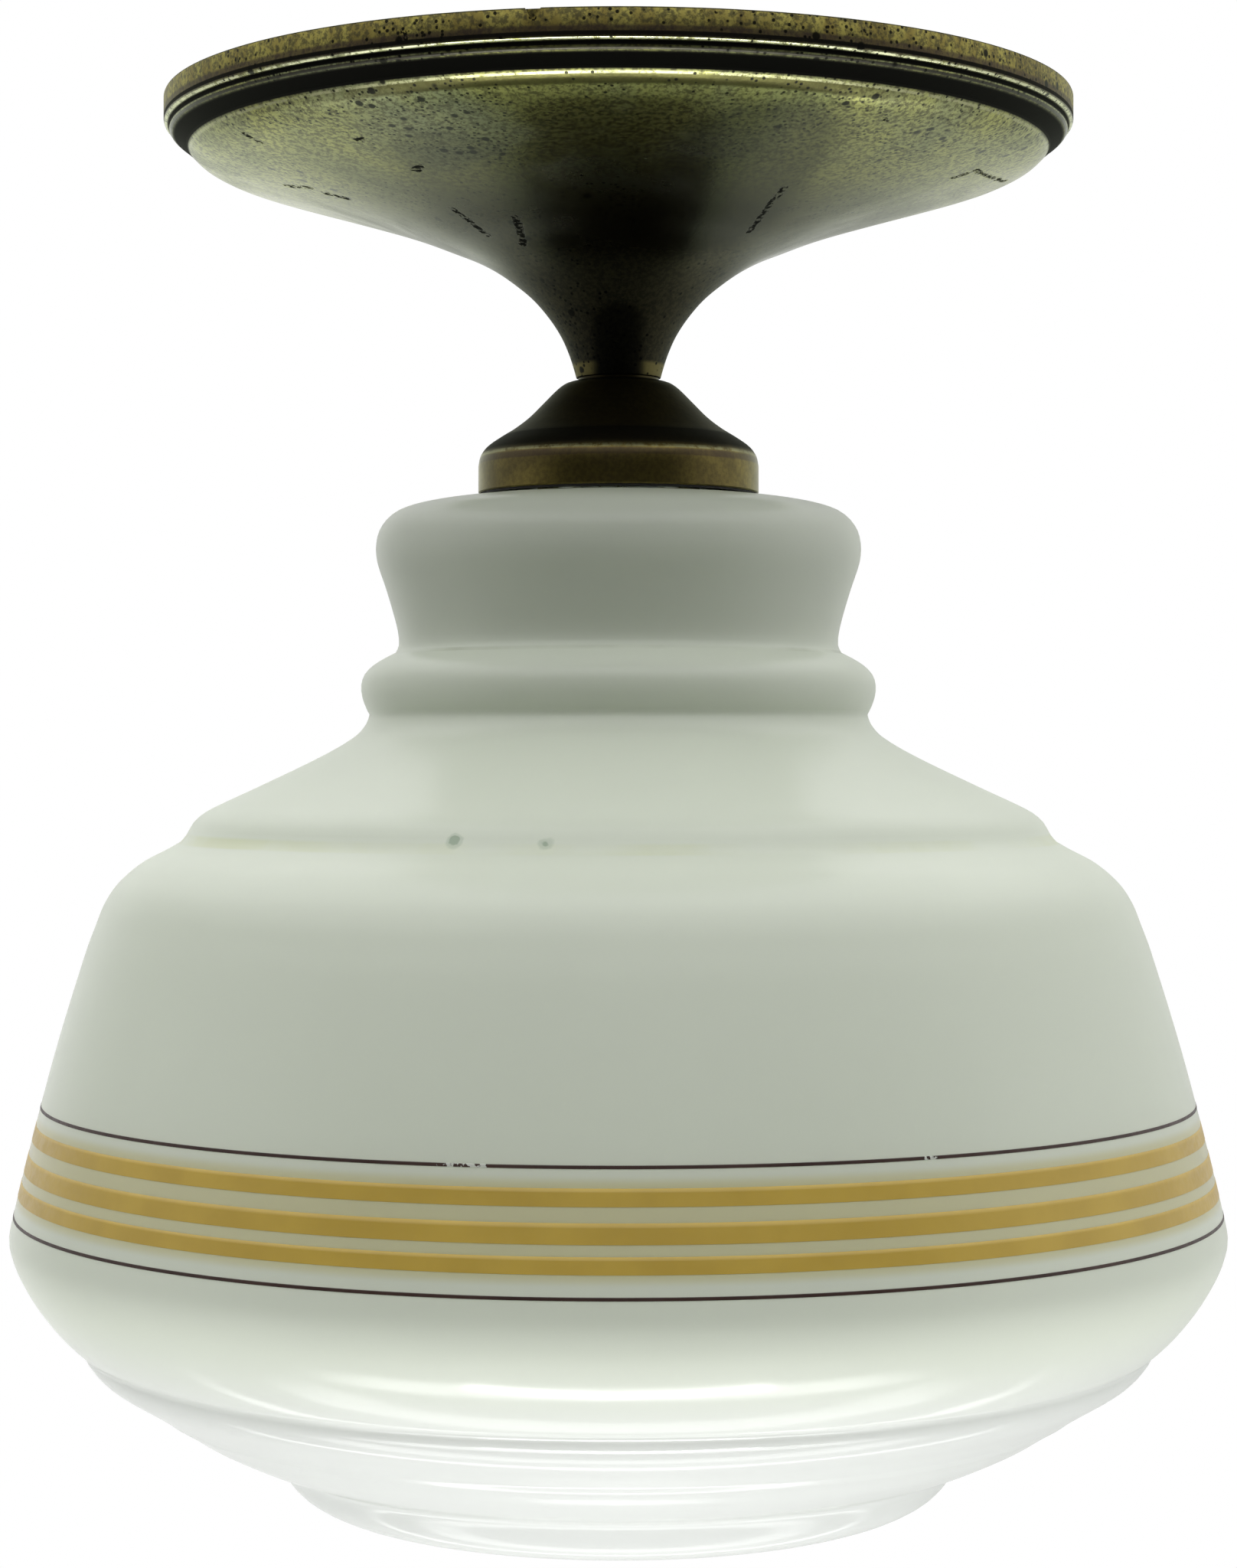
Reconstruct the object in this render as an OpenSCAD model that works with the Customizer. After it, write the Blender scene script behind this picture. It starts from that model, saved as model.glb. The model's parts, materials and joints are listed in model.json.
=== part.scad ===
// Ceiling light: spun brass canopy, brass cup and a striped opal schoolhouse globe.
// Millimetres. The origin is the middle of the canopy's rim, on the ceiling, and the light hangs along -Z.
// Turned outlines are lists of [radius, height] knots, which a smooth curve joins.

/* [Canopy] */
// Radius of the canopy's rim
rim_r = 94; // [93:0.5:97]
// Height of the rim's straight wall
rim_wall_h = 4.9; // [4:0.1:5]
// Thickness of the spun brass
brass_t = 0.9; // [0.7:0.1:1]
// Width of the hem that the rim's edge is folded into
hem_w = 3; // [2.4:0.1:3.4]
// Height of the hem
hem_h = 2.8; // [2.6:0.1:3]
// Width of the notch at the rim's edge
notch_w = 3; // [1.5:0.1:5]
// Height of the notch in the hem
notch_h = 2.2; // [1:0.1:2.4]
// Direction of the notch, in degrees left of the front
notch_turn = 9.5; // [0:0.5:90]

/* [Cup] */
// Radius of the cup's straight band
cup_r = 29.2; // [28.9:0.1:29.6]
// Height of the cup's top
cup_top = -57.4; // [-57.6:0.1:-57.2]
// Height of the cup's edge
cup_edge = -80.8; // [-81:0.1:-80]

/* [Globe] */
// Largest radius of the glass
belly_r = 125; // [124.7:0.1:126]
// Radius of the hole in the top of the glass
mouth_r = 26; // [25.5:0.1:26.5]
// Thickness of the glass
glass_t = 3; // [2.6:0.1:3]
// Thickness of the painted bands
paint_t = 0.1; // [0.05:0.05:0.2]

/* [Stem and strap] */
// Outer radius of the threaded tube
stem_r = 5; // [4.9:0.05:5.1]
// Radius of the tube's bore
stem_bore_r = 4; // [3.6:0.1:4.2]
// Length of the ceiling strap
strap_l = 166; // [160:2:168]
// Width of the strap
strap_w = 24; // [22:1:26]
// Thickness of the strap
strap_t = 2; // [1.5:0.5:2]
// Drop of the strap's middle below the ceiling
strap_drop = 16; // [16:0.5:17]
// Distance from the middle to each ceiling screw hole
strap_hole_x = 75; // [73:0.5:76]
// Radius of the ceiling screw holes
strap_hole_r = 2.5; // [2:0.1:2.8]

/* [Lampholder and lamp] */
// Outer radius of the lampholder
holder_r = 20; // [20:0.5:21]
// Height of the lampholder's top
holder_top = -86; // [-86.5:0.5:-85.5]
// Travel of the lamp in one turn of its thread
thread_lead = 3.629; // [3.6:0.001:3.7]
// Crest radius of the lamp's thread
crest_r = 13.1; // [13:0.05:13.2]
// Radius of the lamp's ball
ball_r = 22.5; // [20:0.5:22.5]
// Length of the lamp from contact to tip
lamp_l = 77; // [75:1:80]

/* [Hidden] */
$fn = 96;
eps = 0.01;

// Colours, as the photo shows the outside
brass = "#8a7f52";
bright_brass = "#c4a960";
steel = "#b5b8ba";
zinc = "#9da2a6";
opal = "#e4e8df";
amber = "#b59a4c";
line_brown = "#2b211c";
rubber = "#2e2f31";
porcelain = "#efece4";
copper = "#b87350";

// Smooth curve through knots: each span leaves and reaches its knots along the neighbours' direction
function unit(v) = v / norm(v);
function heading(p, i) = unit(p[min(i + 1, len(p) - 1)] - p[max(i - 1, 0)]);
function span(a, b, ta, tb, t) = let(l = norm(b - a))
    a * (2 * pow(t, 3) - 3 * pow(t, 2) + 1) + ta * l * (pow(t, 3) - 2 * pow(t, 2) + t)
    + b * (3 * pow(t, 2) - 2 * pow(t, 3)) + tb * l * (pow(t, 3) - pow(t, 2));
function smooth(p, n = 3) = concat(
    [for (i = [0 : len(p) - 2]) for (k = [0 : n - 1])
        span(p[i], p[i + 1], heading(p, i), heading(p, i + 1), k / n)],
    [p[len(p) - 1]]);
function back(p) = [for (i = [len(p) - 1 : -1 : 0]) p[i]];
// Outline that runs down the outside, moved towards the inside by t
function inside(p, t) = [for (i = [0 : len(p) - 1]) let(d = heading(p, i)) p[i] + t * [d[1], -d[0]]];
// Flat strip of thickness t along a path
function strip(p, t) = concat(inside(p, t / 2), back(inside(p, -t / 2)));

// Round wire along a path in space, with 8 sides
wire_sides = 8;
function ring_at(c, d, r) = let(u = unit(cross(d, [0, 1, 0])), v = cross(d, u))
    [for (k = [0 : wire_sides - 1]) c + r * (cos(360 * k / wire_sides) * u + sin(360 * k / wire_sides) * v)];
module wire(knots, r, n = 3) {
    p = smooth(knots, n);
    count = len(p);
    points = [for (i = [0 : count - 1]) each ring_at(p[i], heading(p, i), r)];
    sides = [for (i = [0 : count - 2]) for (k = [0 : wire_sides - 1])
        let(a = i * wire_sides + k, b = i * wire_sides + (k + 1) % wire_sides) each
            [[a, b, b + wire_sides], [a, b + wire_sides, a + wire_sides]]];
    caps = [[for (k = [wire_sides - 1 : -1 : 0]) k],
        [for (k = [0 : wire_sides - 1]) (count - 1) * wire_sides + k]];
    polyhedron(points, concat(sides, caps));
}

// Round bar with a right-hand thread of rounded form, which fades out at both ends
thread_depth = 1;
thread_sides = 24;
function thread_fade(z, z0, z1) = min(1, (z - z0) / thread_lead, (z1 - z) / thread_lead);
function thread_r(z, turn, z0, z1, crest) = crest - thread_depth
    + thread_depth * max(0, thread_fade(z, z0, z1)) * (1 + cos(360 * z / thread_lead - turn)) / 2;
module threaded_bar(z0, z1, crest) {
    rings = ceil((z1 - z0) / (thread_lead / 6));
    points = concat([for (i = [0 : rings]) let(z = z0 + (z1 - z0) * i / rings)
        for (k = [0 : thread_sides - 1])
            let(turn = 360 * k / thread_sides, r = thread_r(z, turn, z0, z1, crest))
                [r * cos(turn), r * sin(turn), z]], [[0, 0, z0], [0, 0, z1]]);
    low = len(points) - 2;
    faces = concat(
        [for (i = [0 : rings - 1]) for (k = [0 : thread_sides - 1])
            let(a = i * thread_sides + k, b = i * thread_sides + (k + 1) % thread_sides) each
                [[a, b + thread_sides, b], [a, a + thread_sides, b + thread_sides]]],
        [for (k = [0 : thread_sides - 1]) [low, k, (k + 1) % thread_sides]],
        [for (k = [0 : thread_sides - 1])
            [low + 1, rings * thread_sides + (k + 1) % thread_sides, rings * thread_sides + k]]);
    polyhedron(points, faces);
}

// Flat ring from height z0 up to z1
module ring(r_in, r_out, z0, z1) {
    rotate_extrude() polygon([[r_in, z0], [r_out, z0], [r_out, z1], [r_in, z1]]);
}
// Hexagon nut with chamfered corners
module nut(across, hole_r, z0, h) {
    corner = across / 2 / cos(30);
    chamfer = (corner - across / 2) / 2;
    translate([0, 0, z0]) difference() {
        intersection() {
            cylinder(r = corner, h = h, $fn = 6);
            rotate_extrude() polygon([[0, 0], [across / 2, 0], [corner, chamfer], [corner, h - chamfer],
                [across / 2, h], [0, h]]);
        }
        translate([0, 0, -1]) cylinder(r = hole_r, h = h + 2);
    }
}
// Slotted screw: its head hangs below height z, and its shank stands above
module slotted_screw(head_r, head_h, shank_r, shank_l) {
    slot_w = head_r / 4;
    difference() {
        rotate_extrude() polygon([[0, -head_h], [head_r * 0.8, -head_h], [head_r, -head_h * 0.75],
            [head_r, 0], [shank_r, 0], [shank_r, shank_l - shank_r / 3], [shank_r * 0.7, shank_l],
            [0, shank_l]]);
        translate([-head_r - 1, -slot_w / 2, -head_h - 1]) cube([2 * head_r + 2, slot_w, head_h / 2 + 1]);
    }
}

// Canopy
neck_end = cup_top + 0.8;
dish_knots = [[rim_r - 5.1, -10.4], [rim_r - 6, -11.5], [rim_r - 7.5, -12.8], [83.4, -14.1], [77.2, -15.9],
    [62.6, -20.2], [51.4, -23.6], [43.7, -26.2], [36.8, -28.9], [30.7, -31.4], [26, -33.9], [21.7, -36.9],
    [17.8, -40.2], [14.4, -44.2], [11.9, -48.1], [10.2, -52], [9.3, -54.8], [8.8, neck_end]];
bead_knots = [[rim_r, -rim_wall_h], [rim_r - 0.15, -rim_wall_h - 0.45], [rim_r - 0.6, -rim_wall_h - 0.7]];
cove_knots = [[rim_r - 1.1, -5.8], [rim_r - 1.15, -6.8], [rim_r - 1.6, -7.4], [rim_r - 2.9, -8.4],
    [rim_r - 4.6, -9.8]];

module canopy() {
    dish = smooth(dish_knots);
    neck_inside = [for (q = inside(dish, brass_t)) if (q[1] > neck_end + brass_t) q];
    wall_r = rim_r - brass_t;
    hem_r = rim_r - hem_w;
    edge_round = 0.4;
    notch_d = hem_w - 0.8;
    half = notch_w / 2;
    low_half = half / 5;
    color(brass) difference() {
        rotate_extrude($fn = 180) polygon(concat(
            [[rim_r - edge_round, 0], [rim_r, -edge_round]], smooth(bead_knots), smooth(cove_knots), dish,
            [[stem_r + 0.3, neck_end], [stem_r + 0.3, neck_end + brass_t]],
            [[neck_inside[len(neck_inside) - 1][0], neck_end + brass_t]],
            back(neck_inside),
            [[wall_r - 2.7, -7.9], [wall_r - 1.5, -6.9], [wall_r, -rim_wall_h + 0.2],
                [wall_r, -hem_h - edge_round], [wall_r - edge_round, -hem_h], [hem_r + edge_round, -hem_h],
                [hem_r, -hem_h + edge_round], [hem_r, -edge_round], [hem_r + edge_round, 0]]));
        // The notch tapers downwards, and leaves the hem's inner fold whole
        rotate([0, 0, -90 - notch_turn]) translate([rim_r - notch_d, 0, 0]) rotate([90, 0, 90])
            linear_extrude(notch_d + 1) polygon([[-half, 1], [-half, 0], [-low_half, -notch_h],
                [low_half, -notch_h], [half, 0], [half, 1]]);
    }
}

module neck_washer() {
    color(bright_brass) ring(stem_r + 0.2, 8.4, cup_top, neck_end);
}

// Ceiling strap: the middle drops below the ceiling, and the ends lie flat on it
ramp_top_x = 44;
ramp_low_x = 30;
strap_pts = [[-strap_l / 2, 0], [-ramp_top_x, 0], [-ramp_low_x, -strap_drop], [ramp_low_x, -strap_drop],
    [ramp_top_x, 0], [strap_l / 2, 0]];
ramp_shift = strap_t * tan(atan(strap_drop / (ramp_top_x - ramp_low_x)) / 2);
strap_low_pts = [[strap_l / 2, -strap_t], [ramp_top_x + ramp_shift, -strap_t],
    [ramp_low_x + ramp_shift, -strap_drop - strap_t], [-ramp_low_x - ramp_shift, -strap_drop - strap_t],
    [-ramp_top_x - ramp_shift, -strap_t], [-strap_l / 2, -strap_t]];
strap_low = -strap_drop - strap_t;
earth_x = -56;
slot_x = 20;
slot_half = 4;

module ceiling_strap() {
    color(zinc) difference() {
        intersection() {
            rotate([90, 0, 0]) translate([0, 0, -strap_w / 2]) linear_extrude(strap_w)
                polygon(concat(strap_pts, strap_low_pts));
            translate([0, 0, strap_low - 1]) cylinder(r = strap_l / 2, h = strap_drop + 5);
        }
        translate([0, 0, strap_low - 1]) cylinder(r = stem_r, h = strap_t + 2);
        for (side = [-1, 1]) {
            translate([side * strap_hole_x, 0, -strap_t - 1]) cylinder(r = strap_hole_r, h = strap_t + 2);
            translate([side * slot_x, 0, strap_low - 1]) linear_extrude(strap_t + 2) union() {
                square([2 * slot_half, 4], center = true);
                for (end = [-1, 1]) translate([end * slot_half, 0]) circle(r = 2);
            }
        }
        translate([earth_x, 0, -strap_t - 1]) cylinder(r = 2, h = strap_t + 2);
        translate([block_x, 0, -strap_t - 1]) cylinder(r = block_screw_r, h = strap_t + 2);
    }
}

// Threaded tube that everything hangs on, with its nuts
stem_top = -11;
stem_end = -94;
nut_h = 3;
module stem() {
    chamfer = 0.5;
    color(bright_brass) rotate_extrude() polygon([[stem_bore_r, stem_top], [stem_r - chamfer, stem_top],
        [stem_r, stem_top - chamfer], [stem_r, stem_end + chamfer], [stem_r - chamfer, stem_end],
        [stem_bore_r, stem_end]]);
}
module strap_nut() {
    color(steel) nut(14, stem_r, -strap_drop, nut_h);
}
module lock_washer() {
    teeth = 10;
    washer_r = 9;
    tooth_w = 1.6;
    color(steel) difference() {
        ring(stem_r, washer_r, strap_low - 0.8, strap_low);
        for (i = [0 : teeth - 1]) rotate([0, 0, 360 * i / teeth])
            translate([washer_r - 1.8, -tooth_w / 2, strap_low - 1]) cube([3, tooth_w, 2]);
    }
}
module strap_lock_nut() {
    color(steel) nut(14, stem_r, strap_low - 0.8 - nut_h, nut_h);
}

// Earth and supply terminals under the strap's ends
tab_t = 0.8;
module earth_tab() {
    tab_w = 10;
    lug_h = 2;
    color(bright_brass) difference() {
        union() {
            translate([earth_x - tab_w / 2, -tab_w / 2, -strap_t - tab_t]) cube([tab_w, tab_w, tab_t]);
            for (side = [-1, 1]) translate([earth_x - tab_w / 2, side * (tab_w - tab_t) / 2 - tab_t / 2,
                -strap_t - tab_t - lug_h]) cube([tab_w, tab_t, lug_h + eps]);
        }
        translate([earth_x, 0, -strap_t - tab_t - 1]) cylinder(r = 2, h = tab_t + 2);
    }
}
lead_r = 1;
module earth_screw() {
    color(bright_brass) translate([earth_x, 0, -strap_t - tab_t - 2 * lead_r])
        slotted_screw(3.4, 2.2, 2, strap_t + tab_t + 2 * lead_r - 0.1);
}

block_x = 57;
block_l = 20;
block_w = 18;
block_h = 11;
block_screw_r = 1.5;
block_head_r = 2.3;
block_sink = 6;
pole_y = 5.2;
pole_z = -strap_t - 6.4;
pole_screw_x = 5.5;
insert_r = 2.3;
terminal_screw_r = 1.1;
terminal_head_r = 1.7;
module each_pole_screw() {
    for (dx = [-pole_screw_x, pole_screw_x]) for (side = [-1, 1])
        translate([block_x + dx, side * pole_y, 0]) children();
}
module terminal_block() {
    low = -strap_t - block_h;
    step_h = 3;
    step_w = 7.2;
    color(porcelain) difference() {
        union() {
            translate([block_x - block_l / 2, -block_w / 2, low + step_h])
                cube([block_l, block_w, block_h - step_h]);
            for (side = [-1, 1]) translate([block_x - block_l / 2 + 1, side * pole_y - step_w / 2, low])
                cube([block_l - 2, step_w, step_h + eps]);
        }
        for (side = [-1, 1]) translate([block_x - block_l, side * pole_y, pole_z])
            rotate([0, 90, 0]) cylinder(r = insert_r, h = 2 * block_l);
        each_pole_screw() translate([0, 0, low - 1])
            cylinder(r = terminal_head_r + 0.2, h = pole_z - low + 1);
        translate([block_x, 0, low - 1]) cylinder(r = block_screw_r, h = block_h + 2);
        translate([block_x, 0, low - 1]) cylinder(r = block_head_r + 0.2, h = block_sink + 1);
    }
}
module terminal_inserts() {
    insert_l = block_l - 2;
    wire_hole_r = 1.3;
    color(bright_brass) difference() {
        for (side = [-1, 1]) translate([block_x - insert_l / 2, side * pole_y, pole_z])
            rotate([0, 90, 0]) difference() {
                cylinder(r = insert_r, h = insert_l);
                translate([0, 0, -1]) cylinder(r = wire_hole_r, h = insert_l + 2);
            }
        each_pole_screw() translate([0, 0, pole_z - insert_r - 1])
            cylinder(r = terminal_screw_r, h = insert_r + 1);
    }
}
module terminal_screws() {
    color(steel) each_pole_screw() translate([0, 0, pole_z - insert_r - 0.4])
        slotted_screw(terminal_head_r, 1.4, terminal_screw_r, 1.6);
}
module block_screw() {
    color(steel) translate([block_x, 0, -strap_t - block_h + block_sink])
        slotted_screw(block_head_r, 2, block_screw_r, block_h - block_sink + strap_t);
}

// Leads: from the terminals round the strap, over the stem's top, down its bore and to the lampholder,
// where an earth boss hangs in the lampholder's cap
boss_y = 11;
boss_end = -94;
boss_screw_r = 1.25;
lead_top = stem_top + 6;
lead_seat = -100;
pole_x = 9.5;
live_knots = [[block_x - 3.5, pole_y, pole_z], [block_x - 9.5, pole_y, pole_z], [44.6, 5.4, pole_z - 0.3],
    [41.6, 9.5, -9.3], [37.8, 14.4, -9.6], [31, 16, -9], [22, 14, -7.2], [13, 9, -5.4],
    [6.5, 4.6, lead_top + 0.2], [2.9, 2.6, lead_top - 1.6], [1.3, 1.9, stem_top - 1], [1.1, 1.9, -30],
    [1.1, 1.9, -60], [1.1, 1.9, -88], [1.8, 1.9, -94.5], [3.6, 1.6, -97.2], [5.4, 1.1, -99.2],
    [7.4, 0.65, lead_seat], [pole_x, 0.56, lead_seat], [pole_x + 1.8, 0.56, lead_seat]];
neutral_tail = [[1.1, -1.9, -88], [0.4, -2.3, -94.5], [-2.2, -3.2, -97], [-4.8, -4, -99.2],
    [-7.2, -4.5, lead_seat], [-pole_x, -4.56, lead_seat], [-pole_x - 1.8, -4.56, lead_seat]];
earth_end_z = boss_end - lead_r;
earth_knots = [[earth_x - 1, 3.05, -strap_t - tab_t - lead_r], [earth_x + 3, 3.05, -strap_t - tab_t - lead_r],
    [-49.5, 4.2, -4], [-46.8, 9.4, -4.8], [-44.6, 13.6, -5.8], [-40, 15, -6.8], [-32, 14.6, -7.4],
    [-22, 10.6, -6.4], [-13, 5, -5.2], [-7, 1.2, lead_top], [-3.6, 0, lead_top - 1.6],
    [-2.3, 0, stem_top - 1], [-2.2, 0, -30], [-2.2, 0, -60], [-2.2, 0, -88], [-2.3, 0.5, -94],
    [-2.4, 3.4, -96.9], [-2.5, 6.6, -96.6], [-2.5, 9, earth_end_z - 0.3], [-2.3, boss_y, earth_end_z],
    [-2.3, boss_y + 1.4, earth_end_z]];
module lead_live() {
    color("#6b4a2f") wire(live_knots, lead_r);
}
module lead_neutral() {
    shared = [for (i = [0 : 12]) [live_knots[i][0], -live_knots[i][1], live_knots[i][2]]];
    color("#35567d") wire(concat(shared, neutral_tail), lead_r);
}
module lead_earth() {
    color("#5d7c3a") wire(earth_knots, lead_r);
}

// Cup and what it clamps
cup_knots = [[9.3, cup_top], [11, cup_top - 0.5], [12.7, cup_top - 1.7], [15.6, -62], [18.6, -65],
    [21.7, -67.4], [24.9, -69.4], [27.5, -71.3], [cup_r - 0.4, -73.2], [cup_r, -75.2]];
module cup() {
    outline = concat([[stem_r + 0.3, cup_top]], smooth(cup_knots), [[cup_r, cup_edge]]);
    color(brass) rotate_extrude($fn = 144) polygon(concat(outline, back(inside(outline, brass_t))));
}
cup_floor = cup_top - brass_t;
module cup_nut() {
    color(steel) nut(14, stem_r, cup_floor - nut_h, nut_h);
}
module cup_gasket() {
    color(rubber) ring(mouth_r + 0.6, cup_r - 0.4, cup_edge - 0.4, cup_edge);
}
hub_z = -77;
hub_t = 1.2;
module distance_tube() {
    color(steel) ring(stem_r + 0.1, 6.4, hub_z, cup_floor - nut_h);
}

// Holder that grips the glass from inside its neck: three sprung arms on a plate
arm_t = 0.9;
arm_w = 7;
arm_knots = [[8.6, hub_z - hub_t - arm_t / 2], [15.8, hub_z - hub_t - arm_t / 2],
    [17.4, hub_z - hub_t - arm_t / 2 - 0.1], [20.4, -79.4], [22, -81.2],
    [23.1, -83.7], [24.8, -85.6], [28.8, -86.9], [35, -87.6], [39.8, -89.1], [41.6, -92.2], [39.8, -96.5],
    [35, -100.5], [30, -103]];
arm_count = 3;
sleeve_from = 7;
sleeve_t = 1.2;
module spring_hub() {
    color(steel) difference() {
        ring(stem_r, 17, hub_z - hub_t, hub_z);
        for (i = [0 : arm_count - 1]) rotate([0, 0, 120 * i + 60]) translate([11.5, 0, hub_z - hub_t - 1])
            cylinder(r = 2.2, h = hub_t + 2);
    }
}
module hub_nut() {
    color(steel) nut(14, stem_r, hub_z - hub_t - nut_h, nut_h);
}
module upright(w) {
    rotate([90, 0, 0]) translate([0, 0, -w / 2]) linear_extrude(w) children();
}
module each_arm() {
    for (i = [0 : arm_count - 1]) rotate([0, 0, 120 * i + 90]) children();
}
module spring_arms() {
    color(steel) each_arm() union() {
        upright(arm_w) polygon(strip(smooth(arm_knots), arm_t));
        translate([12.6, 0, hub_z - hub_t - arm_t - 0.7]) cylinder(r = 1.6, h = 1);
    }
}
module arm_sleeves() {
    path = smooth([for (i = [sleeve_from : len(arm_knots) - 2]) arm_knots[i]]);
    color(rubber) each_arm() difference() {
        upright(arm_w + 2 * sleeve_t) polygon(strip(path, arm_t + 2 * sleeve_t));
        upright(arm_w) polygon(strip(smooth(arm_knots), arm_t));
    }
}

// Lampholder
shell_t = 1.1;
cap_edge = -106;
skirt_edge = -136;
lip_z = skirt_edge + 1.4;
cap_knots = [[8.2, holder_top - 2.4], [11, -89.4], [15.4, -92.4], [18.4, -96], [19.7, -99.6],
    [holder_r, -102.5]];
seat_z = -111;
pole_floor = lead_seat - lead_r;
pole_r = 1.5;
pole_screw_l = 6;
post_low = seat_z - 0.3;
post_l = pole_floor + 2 * lead_r - pole_screw_l - post_low;
module each_pole() {
    for (side = [-1, 1]) translate([side * pole_x, -2, 0]) children();
}
module holder_cap() {
    dome = concat([[8.2, holder_top]], smooth(cap_knots), [[holder_r, cap_edge]]);
    dome_inside = [for (q = inside(dome, shell_t)) if (q[0] > 8.6) q];
    color(bright_brass) difference() {
        union() {
            rotate_extrude() polygon(concat([[stem_r, holder_top]], dome, back(dome_inside),
                [[8.4, stem_end], [stem_r, stem_end]]));
            intersection() {
                translate([0, boss_y, boss_end]) cylinder(r = 2.8, h = 6);
                rotate_extrude() polygon(concat([[stem_r + 1, holder_top - 0.5]], inside(dome, shell_t / 2),
                    [[stem_r + 1, cap_edge]]));
            }
        }
        translate([0, boss_y, boss_end - 1]) cylinder(r = boss_screw_r, h = 4);
    }
}
module holder_skirt() {
    bead = 0.8;
    color(porcelain) rotate_extrude() polygon([[holder_r, cap_edge], [holder_r + bead, cap_edge - 1],
        [holder_r + bead, cap_edge - 4], [holder_r, cap_edge - 5], [holder_r, skirt_edge + 1.5],
        [holder_r - 1.5, skirt_edge], [15.2, skirt_edge], [15.2, lip_z], [18.6, lip_z], [18.6, cap_edge]]);
}
module holder_insulator() {
    tube_r = 18.4;
    shell_r = 14.3;
    color(porcelain) difference() {
        rotate_extrude() polygon([[0, pole_floor], [tube_r - 0.6, pole_floor], [tube_r, pole_floor - 0.6],
            [tube_r, lip_z], [shell_r, lip_z], [shell_r, seat_z], [0, seat_z]]);
        each_pole() translate([0, 0, seat_z - 1]) cylinder(r = pole_r, h = 12);
    }
}
shell_top = seat_z - 0.6;
shell_end = -132;
thread_gap = 0.35;
module screw_shell() {
    color(bright_brass) difference() {
        ring(1, 14.1, shell_end, shell_top);
        threaded_bar(shell_end - thread_lead - 1, shell_top + thread_lead + 1, crest_r + thread_gap);
    }
}
lamp_top = -112.8;
module centre_contact() {
    leaf_t = 0.5;
    leaf = smooth([[-12, post_low], [-8, post_low], [-4, post_low - 0.2], [-0.5, lamp_top + 0.6],
        [1.6, lamp_top + 0.8], [3.4, seat_z - 0.6]]);
    color(copper) union() {
        upright(5) polygon(strip(leaf, leaf_t));
        translate([-pole_x, -2, post_low]) cylinder(r = pole_r, h = post_l);
    }
}
module side_contact() {
    color(copper) union() {
        translate([8, -4, shell_top]) cube([5.9, 4, 0.6]);
        translate([pole_x, -2, post_low]) cylinder(r = pole_r, h = post_l);
    }
}
screw_play = 0.05;
module holder_screws() {
    color(steel) each_pole() translate([0, 0, pole_floor + 2 * lead_r + screw_play]) rotate([180, 0, 0])
        slotted_screw(3, 2, pole_r, pole_screw_l);
}
module holder_earth_screw() {
    color(steel) translate([0, boss_y, boss_end - 2 * lead_r])
        slotted_screw(2.8, 1.6, boss_screw_r, 2 * lead_r + 2.6);
}

// Globe: sections of its outline between creases, from the hole down
top_knots = [[mouth_r, -81.5], [33.7, -82.1], [41.6, -83.3], [46, -84.7], [48.4, -86.6], [49.8, -88.8],
    [50.4, -91.2], [50.4, -93.8], [49.9, -96.2], [48.4, -100.6], [46.9, -105.6], [45.9, -109.6],
    [45.7, -112.4], [46.4, -114]];
ring_knots = [[46.4, -114], [48.4, -115], [51, -116.6], [52.8, -118.5], [53.5, -120.7], [53.3, -123.1],
    [52.5, -125.4], [51.8, -126.8]];
flare_knots = [[51.8, -126.8], [52.4, -128.6], [54.6, -131.2], [61.4, -135.3], [74.8, -141.8],
    [81.7, -145], [85.6, -147], [87.9, -149], [89.4, -151.6], [90.6, -153]];
cone_knots = [[90.6, -153], [93.4, -154.6], [98.6, -157.4], [103.4, -161.6], [106, -165.6], [107.6, -169.6],
    [109.6, -175], [115.7, -195], [121.5, -217.2], [124.1, -228], [belly_r, -232.6], [124.6, -235.6],
    [123, -239.8], [119.8, -245.3], [115.9, -250.3], [113, -253.2], [111.9, -254.1]];
tier_knots = [[110.7, -254.8], [109.8, -257], [107, -260.2], [100.5, -264.3], [96.2, -267]];
low_knots = [[95.4, -267.7], [92.7, -269.3], [87.8, -272.4], [80.2, -276.1], [76.6, -277.4]];
base_knots = [[75, -277.9], [71.9, -279.3], [70.1, -281.4], [68.2, -284], [65.8, -286.2], [62, -288],
    [55.6, -289.2], [40, -290.4], [0, -291.2]];
glass_steps = 2;
glass_outline = [for (section = [top_knots, ring_knots, flare_knots, cone_knots, tier_knots, low_knots,
    base_knots]) each smooth(section, glass_steps)];
// The inside is rounder than the moulded outside: it follows only these knots of each section
inner_knots = concat([for (i = [0 : 12]) top_knots[i]], [[48.4, -116.2], [51.4, -118.4]],
    [for (i = [4 : 5]) ring_knots[i]], [[52, -127.2]], [for (i = [3 : 6]) flare_knots[i]], [[91.4, -152.2]],
    [for (i = [2 : 12]) cone_knots[i]], [cone_knots[13], [114, -252.4], [108.6, -258.6]],
    [tier_knots[3], low_knots[1], low_knots[2], low_knots[3], [74.6, -278.6], [69.6, -282.4]],
    [for (i = [5 : 8]) base_knots[i]]);
// Radius of the glass at a height on the cone and belly
cone_table = [for (q = smooth(cone_knots, glass_steps)) if (q[1] > -232) [q[1], q[0]]];
function glass_r(z) = lookup(z, cone_table);

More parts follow.
